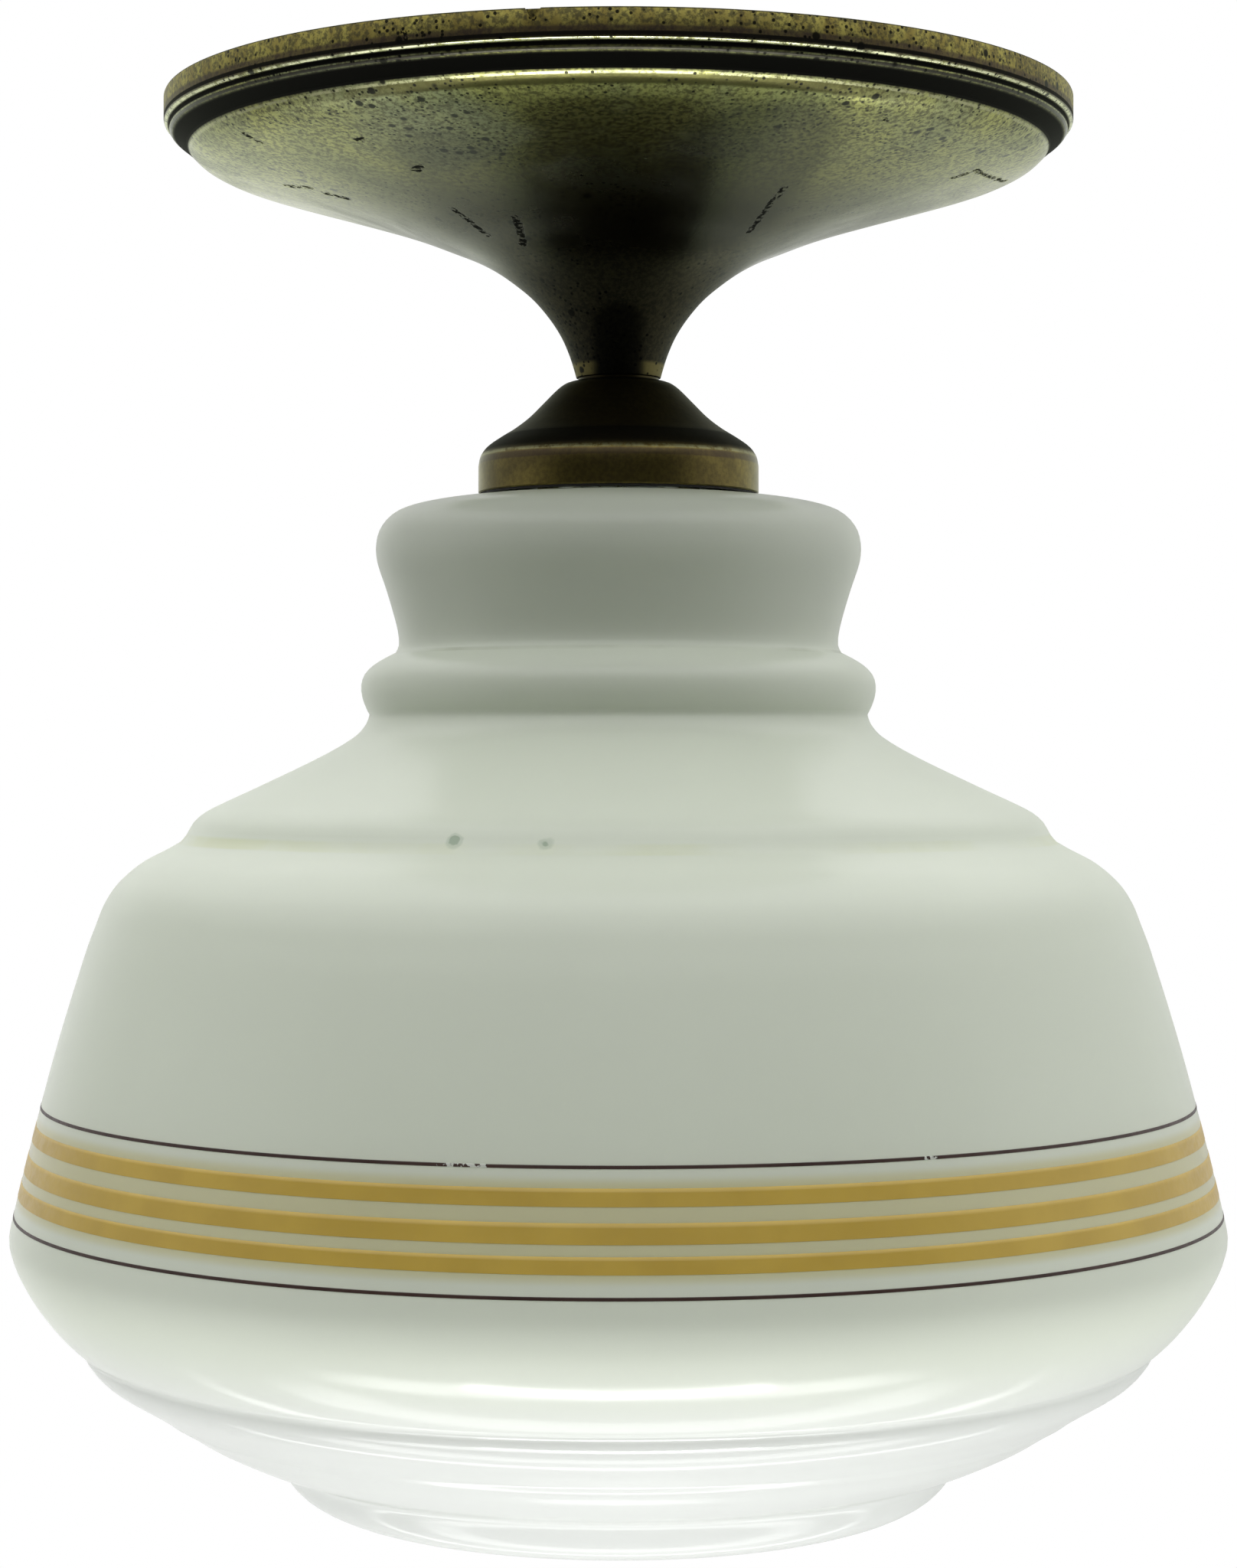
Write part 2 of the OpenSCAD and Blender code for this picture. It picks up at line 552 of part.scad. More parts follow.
// The glass is one moulding. It is built as rings that stand on each other and meet at level joints, so
// that each is a plain thin wall, and the lamp's way in through the mouth stays clear
glass_joints = [-81, -92.5, -126.8, -165.6, -232.6, -254.4, -277.7, -292];
module glass_ring(i) {
    hollow = smooth(inside(inner_knots, glass_t), glass_steps);
    rotate_extrude($fn = 240) intersection() {
        polygon(concat(glass_outline, [[0, hollow[len(hollow) - 1][1]]],
            [for (k = [len(hollow) - 2 : -1 : 1]) hollow[k]], [[mouth_r, hollow[1][1] + 1.1]]));
        translate([0, glass_joints[i + 1]]) square([belly_r + 2, glass_joints[i] - glass_joints[i + 1]]);
    }
}
module globe_mouth() {
    color(opal) glass_ring(0);
}
module globe_neck() {
    color(opal) glass_ring(1);
}
module globe_shoulder() {
    color(opal) glass_ring(2);
}
module globe_shade() {
    color(opal) glass_ring(3);
}
module globe_bowl() {
    color(opal) glass_ring(4);
}
module globe_tier() {
    color(opal) glass_ring(5);
}
module globe_foot() {
    color(opal) glass_ring(6);
}
// Paint on the glass, just clear of it: the top and low edge of each band and line
amber_bands = [[-209.8, -212.9], [-215.6, -219.2], [-221.2, -224.2]];
dark_lines = [[-205.9, -206.6], [-227.8, -228.6]];
paint_gap = 0.01;
module painted_ring(edges) {
    between = [for (q = cone_table) if (q[0] < edges[0] && q[0] > edges[1]) q[0]];
    levels = concat([edges[0]], between, [edges[1]]);
    rotate_extrude($fn = 240) polygon(concat([for (z = levels) [glass_r(z) + paint_t, z]],
        back([for (z = levels) [glass_r(z) + paint_gap, z]])));
}
module amber_band_upper() {
    color(amber) painted_ring(amber_bands[0]);
}
module amber_band_middle() {
    color(amber) painted_ring(amber_bands[1]);
}
module amber_band_lower() {
    color(amber) painted_ring(amber_bands[2]);
}
module dark_line_upper() {
    color(line_brown) painted_ring(dark_lines[0]);
}
module dark_line_lower() {
    color(line_brown) painted_ring(dark_lines[1]);
}

// Lamp: golf-ball glass on an E27 cap
cap_top = lamp_top - 4;
cap_low = lamp_top - 25;
lamp_tip = lamp_top - lamp_l;
ball_z = lamp_tip + ball_r;
bulb_neck_r = 11.2;
function ball_arc(from, to, n) = [for (i = [0 : n]) let(a = from + (to - from) * i / n)
    [ball_r * cos(a), ball_z + ball_r * sin(a)]];
module bulb_glass() {
    neck = smooth([[bulb_neck_r, cap_low + 4], [bulb_neck_r + 0.3, cap_low - 0.5], [12.6, cap_low - 3.6],
        [15.4, cap_low - 6.8], [ball_r * cos(38), ball_z + ball_r * sin(38)]]);
    outline = concat(neck, [for (q = ball_arc(30, -85, 24)) q], [[0, lamp_tip]]);
    within = inside(outline, 0.8);
    color("#f4f1e6") rotate_extrude() polygon(concat(outline, [[0, lamp_tip + 0.8]],
        [for (i = [len(within) - 2 : -1 : 0]) within[i]]));
}
module bulb_cap() {
    root_r = crest_r - thread_depth;
    color(bright_brass) difference() {
        union() {
            threaded_bar(cap_low + 3.5, cap_top, crest_r);
            rotate_extrude() polygon([[0, cap_low], [crest_r, cap_low], [crest_r + 0.1, cap_low + 0.6],
                [root_r, cap_low + 3.6], [0, cap_low + 3.6]]);
        }
        translate([0, 0, cap_low - 1]) cylinder(r = bulb_neck_r + 0.3, h = 23.5);
    }
}
module bulb_insulator() {
    color(rubber) rotate_extrude() polygon([[0, cap_top], [crest_r - thread_depth - 0.6, cap_top],
        [9.5, cap_top + 1], [5.4, lamp_top - 1], [0, lamp_top - 1]]);
}
module bulb_contact() {
    color(steel) rotate_extrude() polygon([[0, lamp_top - 1], [4.8, lamp_top - 1], [4.4, lamp_top - 0.4],
        [2.4, lamp_top], [0, lamp_top]]);
}
filament_count = 4;
filament_r = 6;
filament_top = ball_z + 11;
filament_low = ball_z - 9;
module bulb_stem() {
    color("#dfe6e4") union() {
        rotate_extrude() polygon([[0, cap_low + 3], [bulb_neck_r - 1, cap_low + 3],
            [bulb_neck_r - 1, cap_low + 2], [4.5, cap_low - 2], [3, cap_low - 6], [2.2, filament_top + 2],
            [2.2, filament_low - 1], [0, filament_low - 2]]);
        for (z = [filament_top + 1, filament_low - 1]) ring(1.5, filament_r + 0.9, z - 0.4, z + 0.4);
    }
}
module bulb_filament() {
    color("#e8b94a") for (i = [0 : filament_count - 1]) rotate([0, 0, 360 * i / filament_count])
        translate([filament_r, 0, filament_low - 0.6])
            cylinder(r = 0.8, h = filament_top - filament_low + 1.2);
}

canopy();
neck_washer();
ceiling_strap();
stem();
strap_nut();
strap_lock_nut();
lock_washer();
earth_tab();
earth_screw();
terminal_block();
terminal_inserts();
terminal_screws();
block_screw();
lead_live();
lead_neutral();
lead_earth();
cup();
cup_nut();
cup_gasket();
distance_tube();
spring_hub();
hub_nut();
spring_arms();
arm_sleeves();
holder_cap();
holder_skirt();
holder_insulator();
screw_shell();
centre_contact();
side_contact();
holder_screws();
holder_earth_screw();
globe_mouth();
globe_neck();
globe_shoulder();
globe_shade();
globe_bowl();
globe_tier();
globe_foot();
amber_band_upper();
amber_band_middle();
amber_band_lower();
dark_line_upper();
dark_line_lower();
bulb_glass();
bulb_cap();
bulb_insulator();
bulb_contact();
bulb_stem();
bulb_filament();
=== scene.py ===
import json
import math
import bmesh
import bpy
from mathutils import Matrix, Vector


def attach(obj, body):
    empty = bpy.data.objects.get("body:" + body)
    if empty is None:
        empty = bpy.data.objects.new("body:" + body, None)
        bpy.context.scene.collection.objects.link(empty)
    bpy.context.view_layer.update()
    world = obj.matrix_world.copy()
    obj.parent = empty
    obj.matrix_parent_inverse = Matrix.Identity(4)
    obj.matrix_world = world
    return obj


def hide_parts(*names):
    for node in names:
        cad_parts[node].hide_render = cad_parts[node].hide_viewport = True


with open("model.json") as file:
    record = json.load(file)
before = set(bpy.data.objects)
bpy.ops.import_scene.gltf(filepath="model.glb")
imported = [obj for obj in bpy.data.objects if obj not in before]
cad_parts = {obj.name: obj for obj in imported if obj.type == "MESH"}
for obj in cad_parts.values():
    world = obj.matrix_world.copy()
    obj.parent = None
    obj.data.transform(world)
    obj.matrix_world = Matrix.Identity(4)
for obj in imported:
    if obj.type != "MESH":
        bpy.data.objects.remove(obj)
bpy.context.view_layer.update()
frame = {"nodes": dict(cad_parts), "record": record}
nodes = frame["nodes"]
mm = 0.001
print("frame loaded:", len(nodes), "nodes")

# the eye stands level with the glass, as far off as the photograph's perspective asks
view = {
    "focalPixels": 4334,     # distance from eye to picture, in pixels of the photograph
    "pictureHeight": 2048,
    "eye": (0.0, -0.6919, -0.1342),
    "horizonRow": 980,       # the row at the eye's own height
    "sensor": 36.0,
}

camera = bpy.data.objects.new("camera", bpy.data.cameras.new("camera"))
bpy.context.scene.collection.objects.link(camera)
camera.data.sensor_width = view["sensor"]
camera.data.lens = view["sensor"] * view["focalPixels"] / view["pictureHeight"]
camera.data.shift_y = (view["horizonRow"] - view["pictureHeight"] / 2) / view["pictureHeight"]
camera.location = view["eye"]
camera.rotation_euler = (math.radians(90), 0, 0)
bpy.context.scene.camera = camera
bpy.context.scene.view_settings.view_transform = "Standard"


def put(tree, kind, values=None, **settings):
    # a node with its settings, and values or other nodes' outputs on its sockets
    node = tree.nodes.new("ShaderNode" + kind)
    for key, value in settings.items():
        setattr(node, key, value)
    for key, value in (values or {}).items():
        if isinstance(value, bpy.types.NodeSocket):
            tree.links.new(value, node.inputs[key])
        else:
            node.inputs[key].default_value = value
    return node


def calc(tree, operation, a, b=0.0, clamp=False):
    return put(tree, "Math", {0: a, 1: b}, operation=operation, use_clamp=clamp).outputs[0]


def mixColour(tree, share, a, b):
    colours = [c if isinstance(c, bpy.types.NodeSocket) else (*c, 1.0) for c in (a, b)]
    return put(tree, "Mix", {0: share, 6: colours[0], 7: colours[1]}, data_type="RGBA").outputs[2]


def mixValue(tree, share, a, b):
    return put(tree, "Mix", {0: share, 2: a, 3: b}, data_type="FLOAT").outputs[0]


def ramp(tree, value, low, high, outLow=0.0, outHigh=1.0):
    return put(tree, "MapRange", {0: value, 1: low, 2: high, 3: outLow, 4: outHigh},
               interpolation_type="SMOOTHSTEP").outputs[0]


# levels of light by direction; each span is of one part of the direction: sideways, away or up
studio = {
    "front": 0.02,                  # the dark room behind the camera
    "left": 0.55,
    "right": 0.82,
    "sideSpan": (-0.5, 0.5),        # sideways, from the left's level to the right's
    "frontSpan": (-0.75, 0.0),      # away, from the front's level to the sides'
    "back": 1.15,                   # the white backdrop
    "backSpan": (0.42, 0.92),       # away
    "low": 0.74,                    # share of the backdrop's light that its foot gives
    "lowSpan": (-0.6, -0.15),       # up
    "rightShare": 0.78,             # share of the backdrop's light that its right half gives
    "rightSpan": (-0.2, 0.2),       # sideways
    "below": 1.7,
    "belowSpan": (-0.75, -0.97),    # up
    # bowed lights under the part: forward over down in the middle, bow towards the ends, half width, level
    "arcs": [(0.185, 0.75, 0.075, 8.5), (-0.26, 0.0, 0.10, 4.4), (-0.70, 0.0, 0.05, 4.2)],
    "arcEdge": (1.25, 0.75),        # where an arc starts and is full, in half widths from its middle
    "arcEnds": (0.6, 0.4),          # sideways
    "arcStart": (-0.5, -0.6),       # up
    "above": 1.9,
    "aboveSpan": (0.32, 0.75),      # up
    "seen": 1.0,                    # what the camera sees of the backdrop
}


def buildWorld():
    world = bpy.data.worlds.new("studio")
    bpy.context.scene.world = world
    world.use_nodes = True
    tree = world.node_tree
    tree.nodes.clear()
    direction = put(tree, "SeparateXYZ", {0: put(tree, "TexCoord").outputs["Generated"]})
    sideways, away, up = direction.outputs[0], direction.outputs[1], direction.outputs[2]
    aside = calc(tree, "ABSOLUTE", sideways)

    side = ramp(tree, sideways, *studio["sideSpan"], studio["left"], studio["right"])
    backdrop = ramp(tree, up, *studio["lowSpan"], studio["back"] * studio["low"], studio["back"])
    share = ramp(tree, sideways, *studio["rightSpan"], 1.0, studio["rightShare"])
    backdrop = calc(tree, "MULTIPLY", backdrop, share)
    level = mixValue(tree, ramp(tree, away, *studio["frontSpan"]), studio["front"], side)
    level = mixValue(tree, ramp(tree, away, *studio["backSpan"]), level, backdrop)
    level = mixValue(tree, ramp(tree, up, *studio["belowSpan"]), level, studio["below"])

    lean = calc(tree, "DIVIDE", away, up)      # forward over down, under the horizon
    bow = calc(tree, "POWER", sideways, 2.0)
    within = ramp(tree, up, *studio["arcStart"])
    within = calc(tree, "MULTIPLY", within, ramp(tree, aside, *studio["arcEnds"]))
    starts, full = studio["arcEdge"]
    for middle, bend, half, bright in studio["arcs"]:
        offset = calc(tree, "ADD", calc(tree, "SUBTRACT", lean, middle), calc(tree, "MULTIPLY", bow, bend))
        arc = ramp(tree, calc(tree, "ABSOLUTE", offset), half * starts, half * full)
        level = mixValue(tree, calc(tree, "MULTIPLY", arc, within), level, bright)
    level = mixValue(tree, ramp(tree, up, *studio["aboveSpan"]), level, studio["above"])

    seen = put(tree, "LightPath").outputs["Is Camera Ray"]
    strength = mixValue(tree, seen, level, studio["seen"])
    background = put(tree, "Background", {"Color": (1, 1, 1, 1), "Strength": strength})
    tree.links.new(background.outputs[0], put(tree, "OutputWorld").inputs[0])


buildWorld()

softLamps = [
    {"name": "underLight", "place": (0, -0.24, -0.93), "target": (0, -0.12, -0.25), "size": (0.5, 0.06),
     "power": 1.2, "reflected": True},
    {"name": "fillLight", "place": (0, -0.37, -0.93), "target": (0, 0, -0.25), "size": (1.0, 0.3),
     "power": 3.9, "reflected": False},
]


def addLamp(name, place, target, size, power, reflected):
    light = bpy.data.lights.new(name, "AREA")
    light.shape = "RECTANGLE"
    light.size, light.size_y = size
    light.energy = power
    lamp = bpy.data.objects.new(name, light)
    lamp.location = place
    lamp.rotation_euler = (Vector(target) - Vector(place)).to_track_quat("-Z", "Y").to_euler()
    lamp.visible_camera = False
    lamp.visible_glossy = reflected
    bpy.context.scene.collection.objects.link(lamp)


for lampPlan in softLamps:
    addLamp(**lampPlan)

floorPlan = {
    "height": -2.6,      # low enough for a look from below
    "half": 8.0,
    "colour": (0.92, 0.92, 0.91, 1.0),
    "roughness": 0.9,
    "glow": 0.6,
}


def addFloor():
    bm = bmesh.new()
    bmesh.ops.create_grid(bm, x_segments=1, y_segments=1, size=floorPlan["half"])
    bmesh.ops.translate(bm, verts=bm.verts, vec=(0, 0, floorPlan["height"]))
    mesh = bpy.data.meshes.new("floor")
    bm.to_mesh(mesh)
    bm.free()
    floor = bpy.data.objects.new("floor", mesh)
    bpy.context.scene.collection.objects.link(floor)
    material = bpy.data.materials.new("paleFloor")
    material.use_nodes = True
    skin = material.node_tree.nodes["Principled BSDF"]
    skin.inputs["Base Color"].default_value = floorPlan["colour"]
    skin.inputs["Roughness"].default_value = floorPlan["roughness"]
    skin.inputs["Emission Color"].default_value = (1, 1, 1, 1)
    skin.inputs["Emission Strength"].default_value = floorPlan["glow"]
    mesh.materials.append(material)
    # the world already lights the part from below, so the floor is only for the eye
    floor.visible_diffuse = False
    floor.visible_glossy = False
    floor.visible_transmission = False
    floor.visible_shadow = False


addFloor()
print("camera and studio ready")


def newGroup(name, inputs, outputs):
    # every group reads a position; a tuple stands for another vector input
    group = bpy.data.node_groups.new(name, "ShaderNodeTree")
    group.interface.new_socket("Vector", in_out="INPUT", socket_type="NodeSocketVector")
    for label, value in inputs.items():
        kind = "NodeSocketVector" if isinstance(value, tuple) else "NodeSocketFloat"
        group.interface.new_socket(label, in_out="INPUT", socket_type=kind).default_value = value
    for label in outputs:
        group.interface.new_socket(label, in_out="OUTPUT", socket_type="NodeSocketFloat")
    return group, group.nodes.new("NodeGroupInput").outputs, group.nodes.new("NodeGroupOutput").inputs


def placeGroup(tree, group, vector, **values):
    node = tree.nodes.new("ShaderNodeGroup")
    node.node_tree = group
    tree.links.new(vector, node.inputs["Vector"])
    for label, value in values.items():
        if isinstance(value, bpy.types.NodeSocket):
            tree.links.new(value, node.inputs[label])
        else:
            node.inputs[label].default_value = value
    return node.outputs


def noise(tree, vector, scale, detail=4.0, roughness=0.55):
    return put(tree, "TexNoise", {"Vector": vector, "Scale": scale, "Detail": detail,
                                  "Roughness": roughness}).outputs["Fac"]


def distance(tree, a, b):
    squares = calc(tree, "ADD", calc(tree, "POWER", a, 2.0), calc(tree, "POWER", b, 2.0))
    return calc(tree, "SQRT", squares)


def radiusAndHeight(tree, vector):
    # both in millimetres
    parts = put(tree, "SeparateXYZ", {0: vector}).outputs
    return calc(tree, "DIVIDE", distance(tree, parts[0], parts[1]), mm), calc(tree, "DIVIDE", parts[2], mm)


def buildRingMask():
    # 1 on the circle of that radius and height, in millimetres, and 0 from Width away
    group, given, made = newGroup("ringMask", {"Radius": 10.0, "Height": 0.0, "Width": 1.0}, ["Mask"])
    radius, height = radiusAndHeight(group, given["Vector"])
    out = calc(group, "SUBTRACT", radius, given["Radius"])
    up = calc(group, "SUBTRACT", height, given["Height"])
    away = calc(group, "DIVIDE", distance(group, out, up), given["Width"])
    group.links.new(ramp(group, away, 1.0, 0.5), made["Mask"])
    return group


def buildTurned():
    # where a point of a turned piece lies, in millimetres
    group, given, made = newGroup("turned", {}, ["Radius", "Height"])
    radius, height = radiusAndHeight(group, given["Vector"])
    group.links.new(radius, made["Radius"])
    group.links.new(height, made["Height"])
    return group


streakForm = {
    "ragged": 3.2,          # how far Warp moves the edge, in millimetres
    "edge": (0.5, 0.3),     # in widths from the middle line
}


def buildStreak():
    # 1 along a line between two points in metres, Width millimetres across, with a ragged edge
    inputs = {"From": (0, 0, 0), "To": (0, 0, 0), "Width": 1.0, "Warp": 0.5}
    group, given, made = newGroup("streak", inputs, ["Mask"])

    def vector(operation, a, b, output=0):
        return put(group, "VectorMath", {0: a, 1: b}, operation=operation).outputs[output]

    along = vector("SUBTRACT", given["To"], given["From"])
    apart = vector("SUBTRACT", given["Vector"], given["From"])
    reach = vector("DOT_PRODUCT", apart, along, 1)
    share = calc(group, "DIVIDE", reach, vector("DOT_PRODUCT", along, along, 1), True)
    reached = put(group, "VectorMath", {0: along, "Scale": share}, operation="SCALE").outputs[0]
    away = calc(group, "DIVIDE", vector("DISTANCE", apart, reached, 1), mm)
    warp = calc(group, "MULTIPLY", calc(group, "SUBTRACT", given["Warp"], 0.5), streakForm["ragged"])
    widths = calc(group, "DIVIDE", calc(group, "ADD", away, warp), given["Width"])
    group.links.new(ramp(group, widths, *streakForm["edge"]), made["Mask"])
    return group


patinaForm = {
    "clouds": {"Detail": 6.0, "Roughness": 0.6, "Distortion": 0.5},
    "stain": (0.36, 0.64),            # span of the clouds over which they turn to stain
    "speckle": (1000.0, 3.0, 0.7),    # scale, detail and roughness of a noise
    "speckleSpan": (0.4, 0.62),
    "patches": (30.0, 3.0),
    # scale of the cells, span of the patches that the pits lie in, how rare they are
    "pits": [(850.0, 0.36, 0.6, 0.36), (330.0, 0.42, 0.66, 0.5)],
    "patchPull": (-0.4, 0.3),         # what a patch adds to a cell's lot, outside it and in it
    "rareSpan": (0.2, 0.25),
    "pitSpan": (0.36, 0.22),          # distance from the cell's middle
    "relief": 0.18,
}


def buildPatina():
    # cloudy stain, a fine speckle, small dark pits in patches, and the relief of it all
    outputs = ["Stain", "Speckle", "Pits", "Height"]
    group, given, made = newGroup("patina", {"Scale": 30.0, "Pitting": 0.5}, outputs)
    form = patinaForm
    cloud = put(group, "TexNoise", {"Vector": given["Vector"], "Scale": given["Scale"], **form["clouds"]})
    speckle = noise(group, given["Vector"], *form["speckle"])
    patches = noise(group, given["Vector"], *form["patches"])
    pits = 0.0
    for scale, low, high, rare in form["pits"]:
        cells = {"Vector": given["Vector"], "Scale": scale, "Randomness": 1.0}
        cell = put(group, "TexVoronoi", cells).outputs
        lot = put(group, "SeparateXYZ", {0: cell["Color"]}).outputs[0]
        lot = calc(group, "ADD", lot, ramp(group, patches, low, high, *form["patchPull"]))
        picked = ramp(group, lot, *[rare + edge for edge in form["rareSpan"]])
        spot = calc(group, "MULTIPLY", ramp(group, cell["Distance"], *form["pitSpan"]), picked)
        pits = calc(group, "MAXIMUM", pits, spot)
    pits = calc(group, "MULTIPLY", pits, given["Pitting"], True)
    group.links.new(ramp(group, cloud.outputs["Fac"], *form["stain"]), made["Stain"])
    group.links.new(ramp(group, speckle, *form["speckleSpan"]), made["Speckle"])
    group.links.new(pits, made["Pits"])
    group.links.new(calc(group, "MULTIPLY", speckle, form["relief"]), made["Height"])
    return group


grainForm = {
    "slow": 0.12,      # scale of the clouds, as a share of the grain's
    "details": {"Fine": 3.0, "Cloud": 4.0},
}


def buildGrain():
    # even fine grain, and slower clouds, for cast, glazed, rubbery and plated surfaces
    group, given, made = newGroup("grain", {"Scale": 300.0}, ["Fine", "Cloud"])
    scales = {"Fine": given["Scale"], "Cloud": calc(group, "MULTIPLY", given["Scale"], grainForm["slow"])}
    for label, detail in grainForm["details"].items():
        grains = put(group, "TexNoise", {"Vector": given["Vector"], "Scale": scales[label], "Detail": detail})
        group.links.new(grains.outputs["Fac"], made[label])
    return group


ringMask = buildRingMask()
turned = buildTurned()
streak = buildStreak()
patina = buildPatina()
grain = buildGrain()


def newMaterial(name):
    material = bpy.data.materials.new(name)
    material.use_nodes = True
    tree = material.node_tree
    tree.nodes.clear()
    place = put(tree, "TexCoord").outputs["Object"]
    skin = put(tree, "BsdfPrincipled")
    tree.links.new(skin.outputs[0], put(tree, "OutputMaterial").inputs[0])
    return material, tree, place, skin


def bump(tree, height, depth, strength):
    return put(tree, "Bump", {"Height": height, "Distance": depth, "Strength": strength}).outputs[0]


def streakMask(tree, place, start, end, width, **more):
    # start and end in millimetres
    ends = {"From": [c * mm for c in start], "To": [c * mm for c in end]}
    return placeGroup(tree, streak, place, Width=width, **ends, **more)["Mask"]


def ringMaskAt(tree, place, radius, height, width):
    return placeGroup(tree, ringMask, place, Radius=radius, Height=height, Width=width)["Mask"]


# some tints paint light: highlights on the beads, glints at the neck's end, and shade in the cove, its creases
# and under the bead
brassTints = {
    "wearAndGlint": (0.34, 0.345, 0.19),
    "dull": (0.032, 0.03, 0.025),
    "bright": (0.62, 0.64, 0.40),
    "olive": (0.05, 0.048, 0.015),
    "paintedGlint": (0.30, 0.26, 0.09),
    "brown": (0.060, 0.042, 0.035),
    "black": (0.016, 0.014, 0.013),
    "pitAndShade": (0.005, 0.005, 0.004),
}
# noises are (scale, detail, roughness); a span runs from where a mask is empty to where it is full
brassForm = {
    "wallStretch": (1.0, 1.0, 0.3),
    "mottle": (190.0, 4.0, 0.6),
    "mottleSpan": (0.36, 0.62),
    "wallSoft": 0.4,                   # height over which the wall's finish ends, in millimetres
    "ragged": (420.0, 6.0, 0.85),
    "crumbs": (950.0, 3.0, 0.6),
    "tornSpan": (0.42, 0.52),
    "frontSpan": (-0.064, -0.08),      # along Y, in metres
    "asideSpan": (0.0035, 0.006),      # off the middle plane, in metres
    "edge": (0.88, 0.92, 0.82, 1.0),   # tint at grazing angles
    "metal": 0.93,                     # a little of the tarnish only scatters
    "dirtAndShadeRough": 0.85,
    "dirtAndShadeDepth": 0.4,
    "relief": (0.00012, 0.8),          # depth in metres and strength of a bump
}


def agedBrass(name, look):
    # rings are (tint, radius, height, width, strength), among them painted shade in hollows and creases and
    # painted highlights on edges;
    # shades are (from, to, width, strength), patches of painted shade; marks are (from, to, width), scratches
    # and pits and a painted shade in the rim's cut, all in millimetres
    material, tree, place, skin = newMaterial(name)
    form = brassForm
    old = placeGroup(tree, patina, place, Scale=look["scale"], Pitting=look["pitting"])
    where = placeGroup(tree, turned, place)
    colour = mixColour(tree, old["Stain"], look["gold"], look["oxide"])
    # painted shade: the colour darkens towards the axis, standing in for the dark cup and neck that the dish
    # reflects
    near, far, clean = look["tone"]
    radialShade = ramp(tree, where["Radius"], near, far, 1 - clean, 0.0)
    colour = mixColour(tree, radialShade, colour, brassTints["black"])
    smoothness = mixValue(tree, old["Stain"], *look["rough"])
    if "neck" in look:
        near, far, rough = look["neck"]
        smoothness = mixValue(tree, ramp(tree, where["Radius"], near, far), rough, smoothness)
    if "wall" in look:
        wall = ramp(tree, where["Height"], look["wallEnd"] - form["wallSoft"], look["wallEnd"])
        tall = put(tree, "Mapping", {"Vector": place, "Scale": form["wallStretch"]}).outputs[0]
        mottled = ramp(tree, noise(tree, tall, *form["mottle"]), *form["mottleSpan"])
        colour = mixColour(tree, wall, colour, mixColour(tree, mottled, *look["wall"]))
        smoothness = mixValue(tree, wall, smoothness, look["wallRough"])
    colour = mixColour(tree, calc(tree, "MULTIPLY", old["Speckle"], look["speckle"]), colour, look["dark"])

    ragged = noise(tree, place, *form["ragged"])
    wearAndGlint = ramp(tree, ragged, *form["tornSpan"])
    spot = put(tree, "SeparateXYZ", {0: place}).outputs
    front = ramp(tree, spot[1], *form["frontSpan"])
    aside = ramp(tree, calc(tree, "ABSOLUTE", spot[0]), *form["asideSpan"])
    limits = {"wearAndGlint": wearAndGlint, "bright": wearAndGlint, "olive": front, "paintedGlint": aside}
    # the black rings of painted shade and the real scratches both gather here, and both darken, roughen and
    # sink the surface
    dirtAndShade = 0.0
    for tint, radius, height, width, strength in look["rings"]:
        share = calc(tree, "MULTIPLY", ringMaskAt(tree, place, radius, height, width), strength, True)
        if tint in limits:
            share = calc(tree, "MULTIPLY", share, limits[tint])
        colour = mixColour(tree, share, colour, brassTints[tint])
        if tint == "black":
            dirtAndShade = calc(tree, "MAXIMUM", dirtAndShade, share)
    # painted shade: soft dark patches that stand in for the dark cup and neck reflected in the dish, and for
    # the neck's dark front
    for start, end, width, strength in look["shades"]:
        shade = calc(tree, "MULTIPLY", streakMask(tree, place, start, end, width), strength)
        colour = mixColour(tree, shade, colour, brassTints["pitAndShade"])
    crumbs = ramp(tree, noise(tree, place, *form["crumbs"]), *form["tornSpan"])
    for start, end, width in look["marks"]:
        mark = streakMask(tree, place, start, end, width, Warp=ragged)
        dirtAndShade = calc(tree, "MAXIMUM", dirtAndShade, calc(tree, "MULTIPLY", mark, crumbs))
    colour = mixColour(tree, calc(tree, "MAXIMUM", dirtAndShade, old["Pits"]), colour, brassTints["pitAndShade"])

    tree.links.new(colour, skin.inputs["Base Color"])
    tree.links.new(mixValue(tree, dirtAndShade, smoothness, form["dirtAndShadeRough"]), skin.inputs["Roughness"])
    skin.inputs["Metallic"].default_value = form["metal"]
    skin.inputs["Specular Tint"].default_value = form["edge"]
    relief = calc(tree, "SUBTRACT", old["Height"], calc(tree, "MULTIPLY", dirtAndShade, form["dirtAndShadeDepth"]))
    tree.links.new(bump(tree, relief, *form["relief"]), skin.inputs["Normal"])
    return material


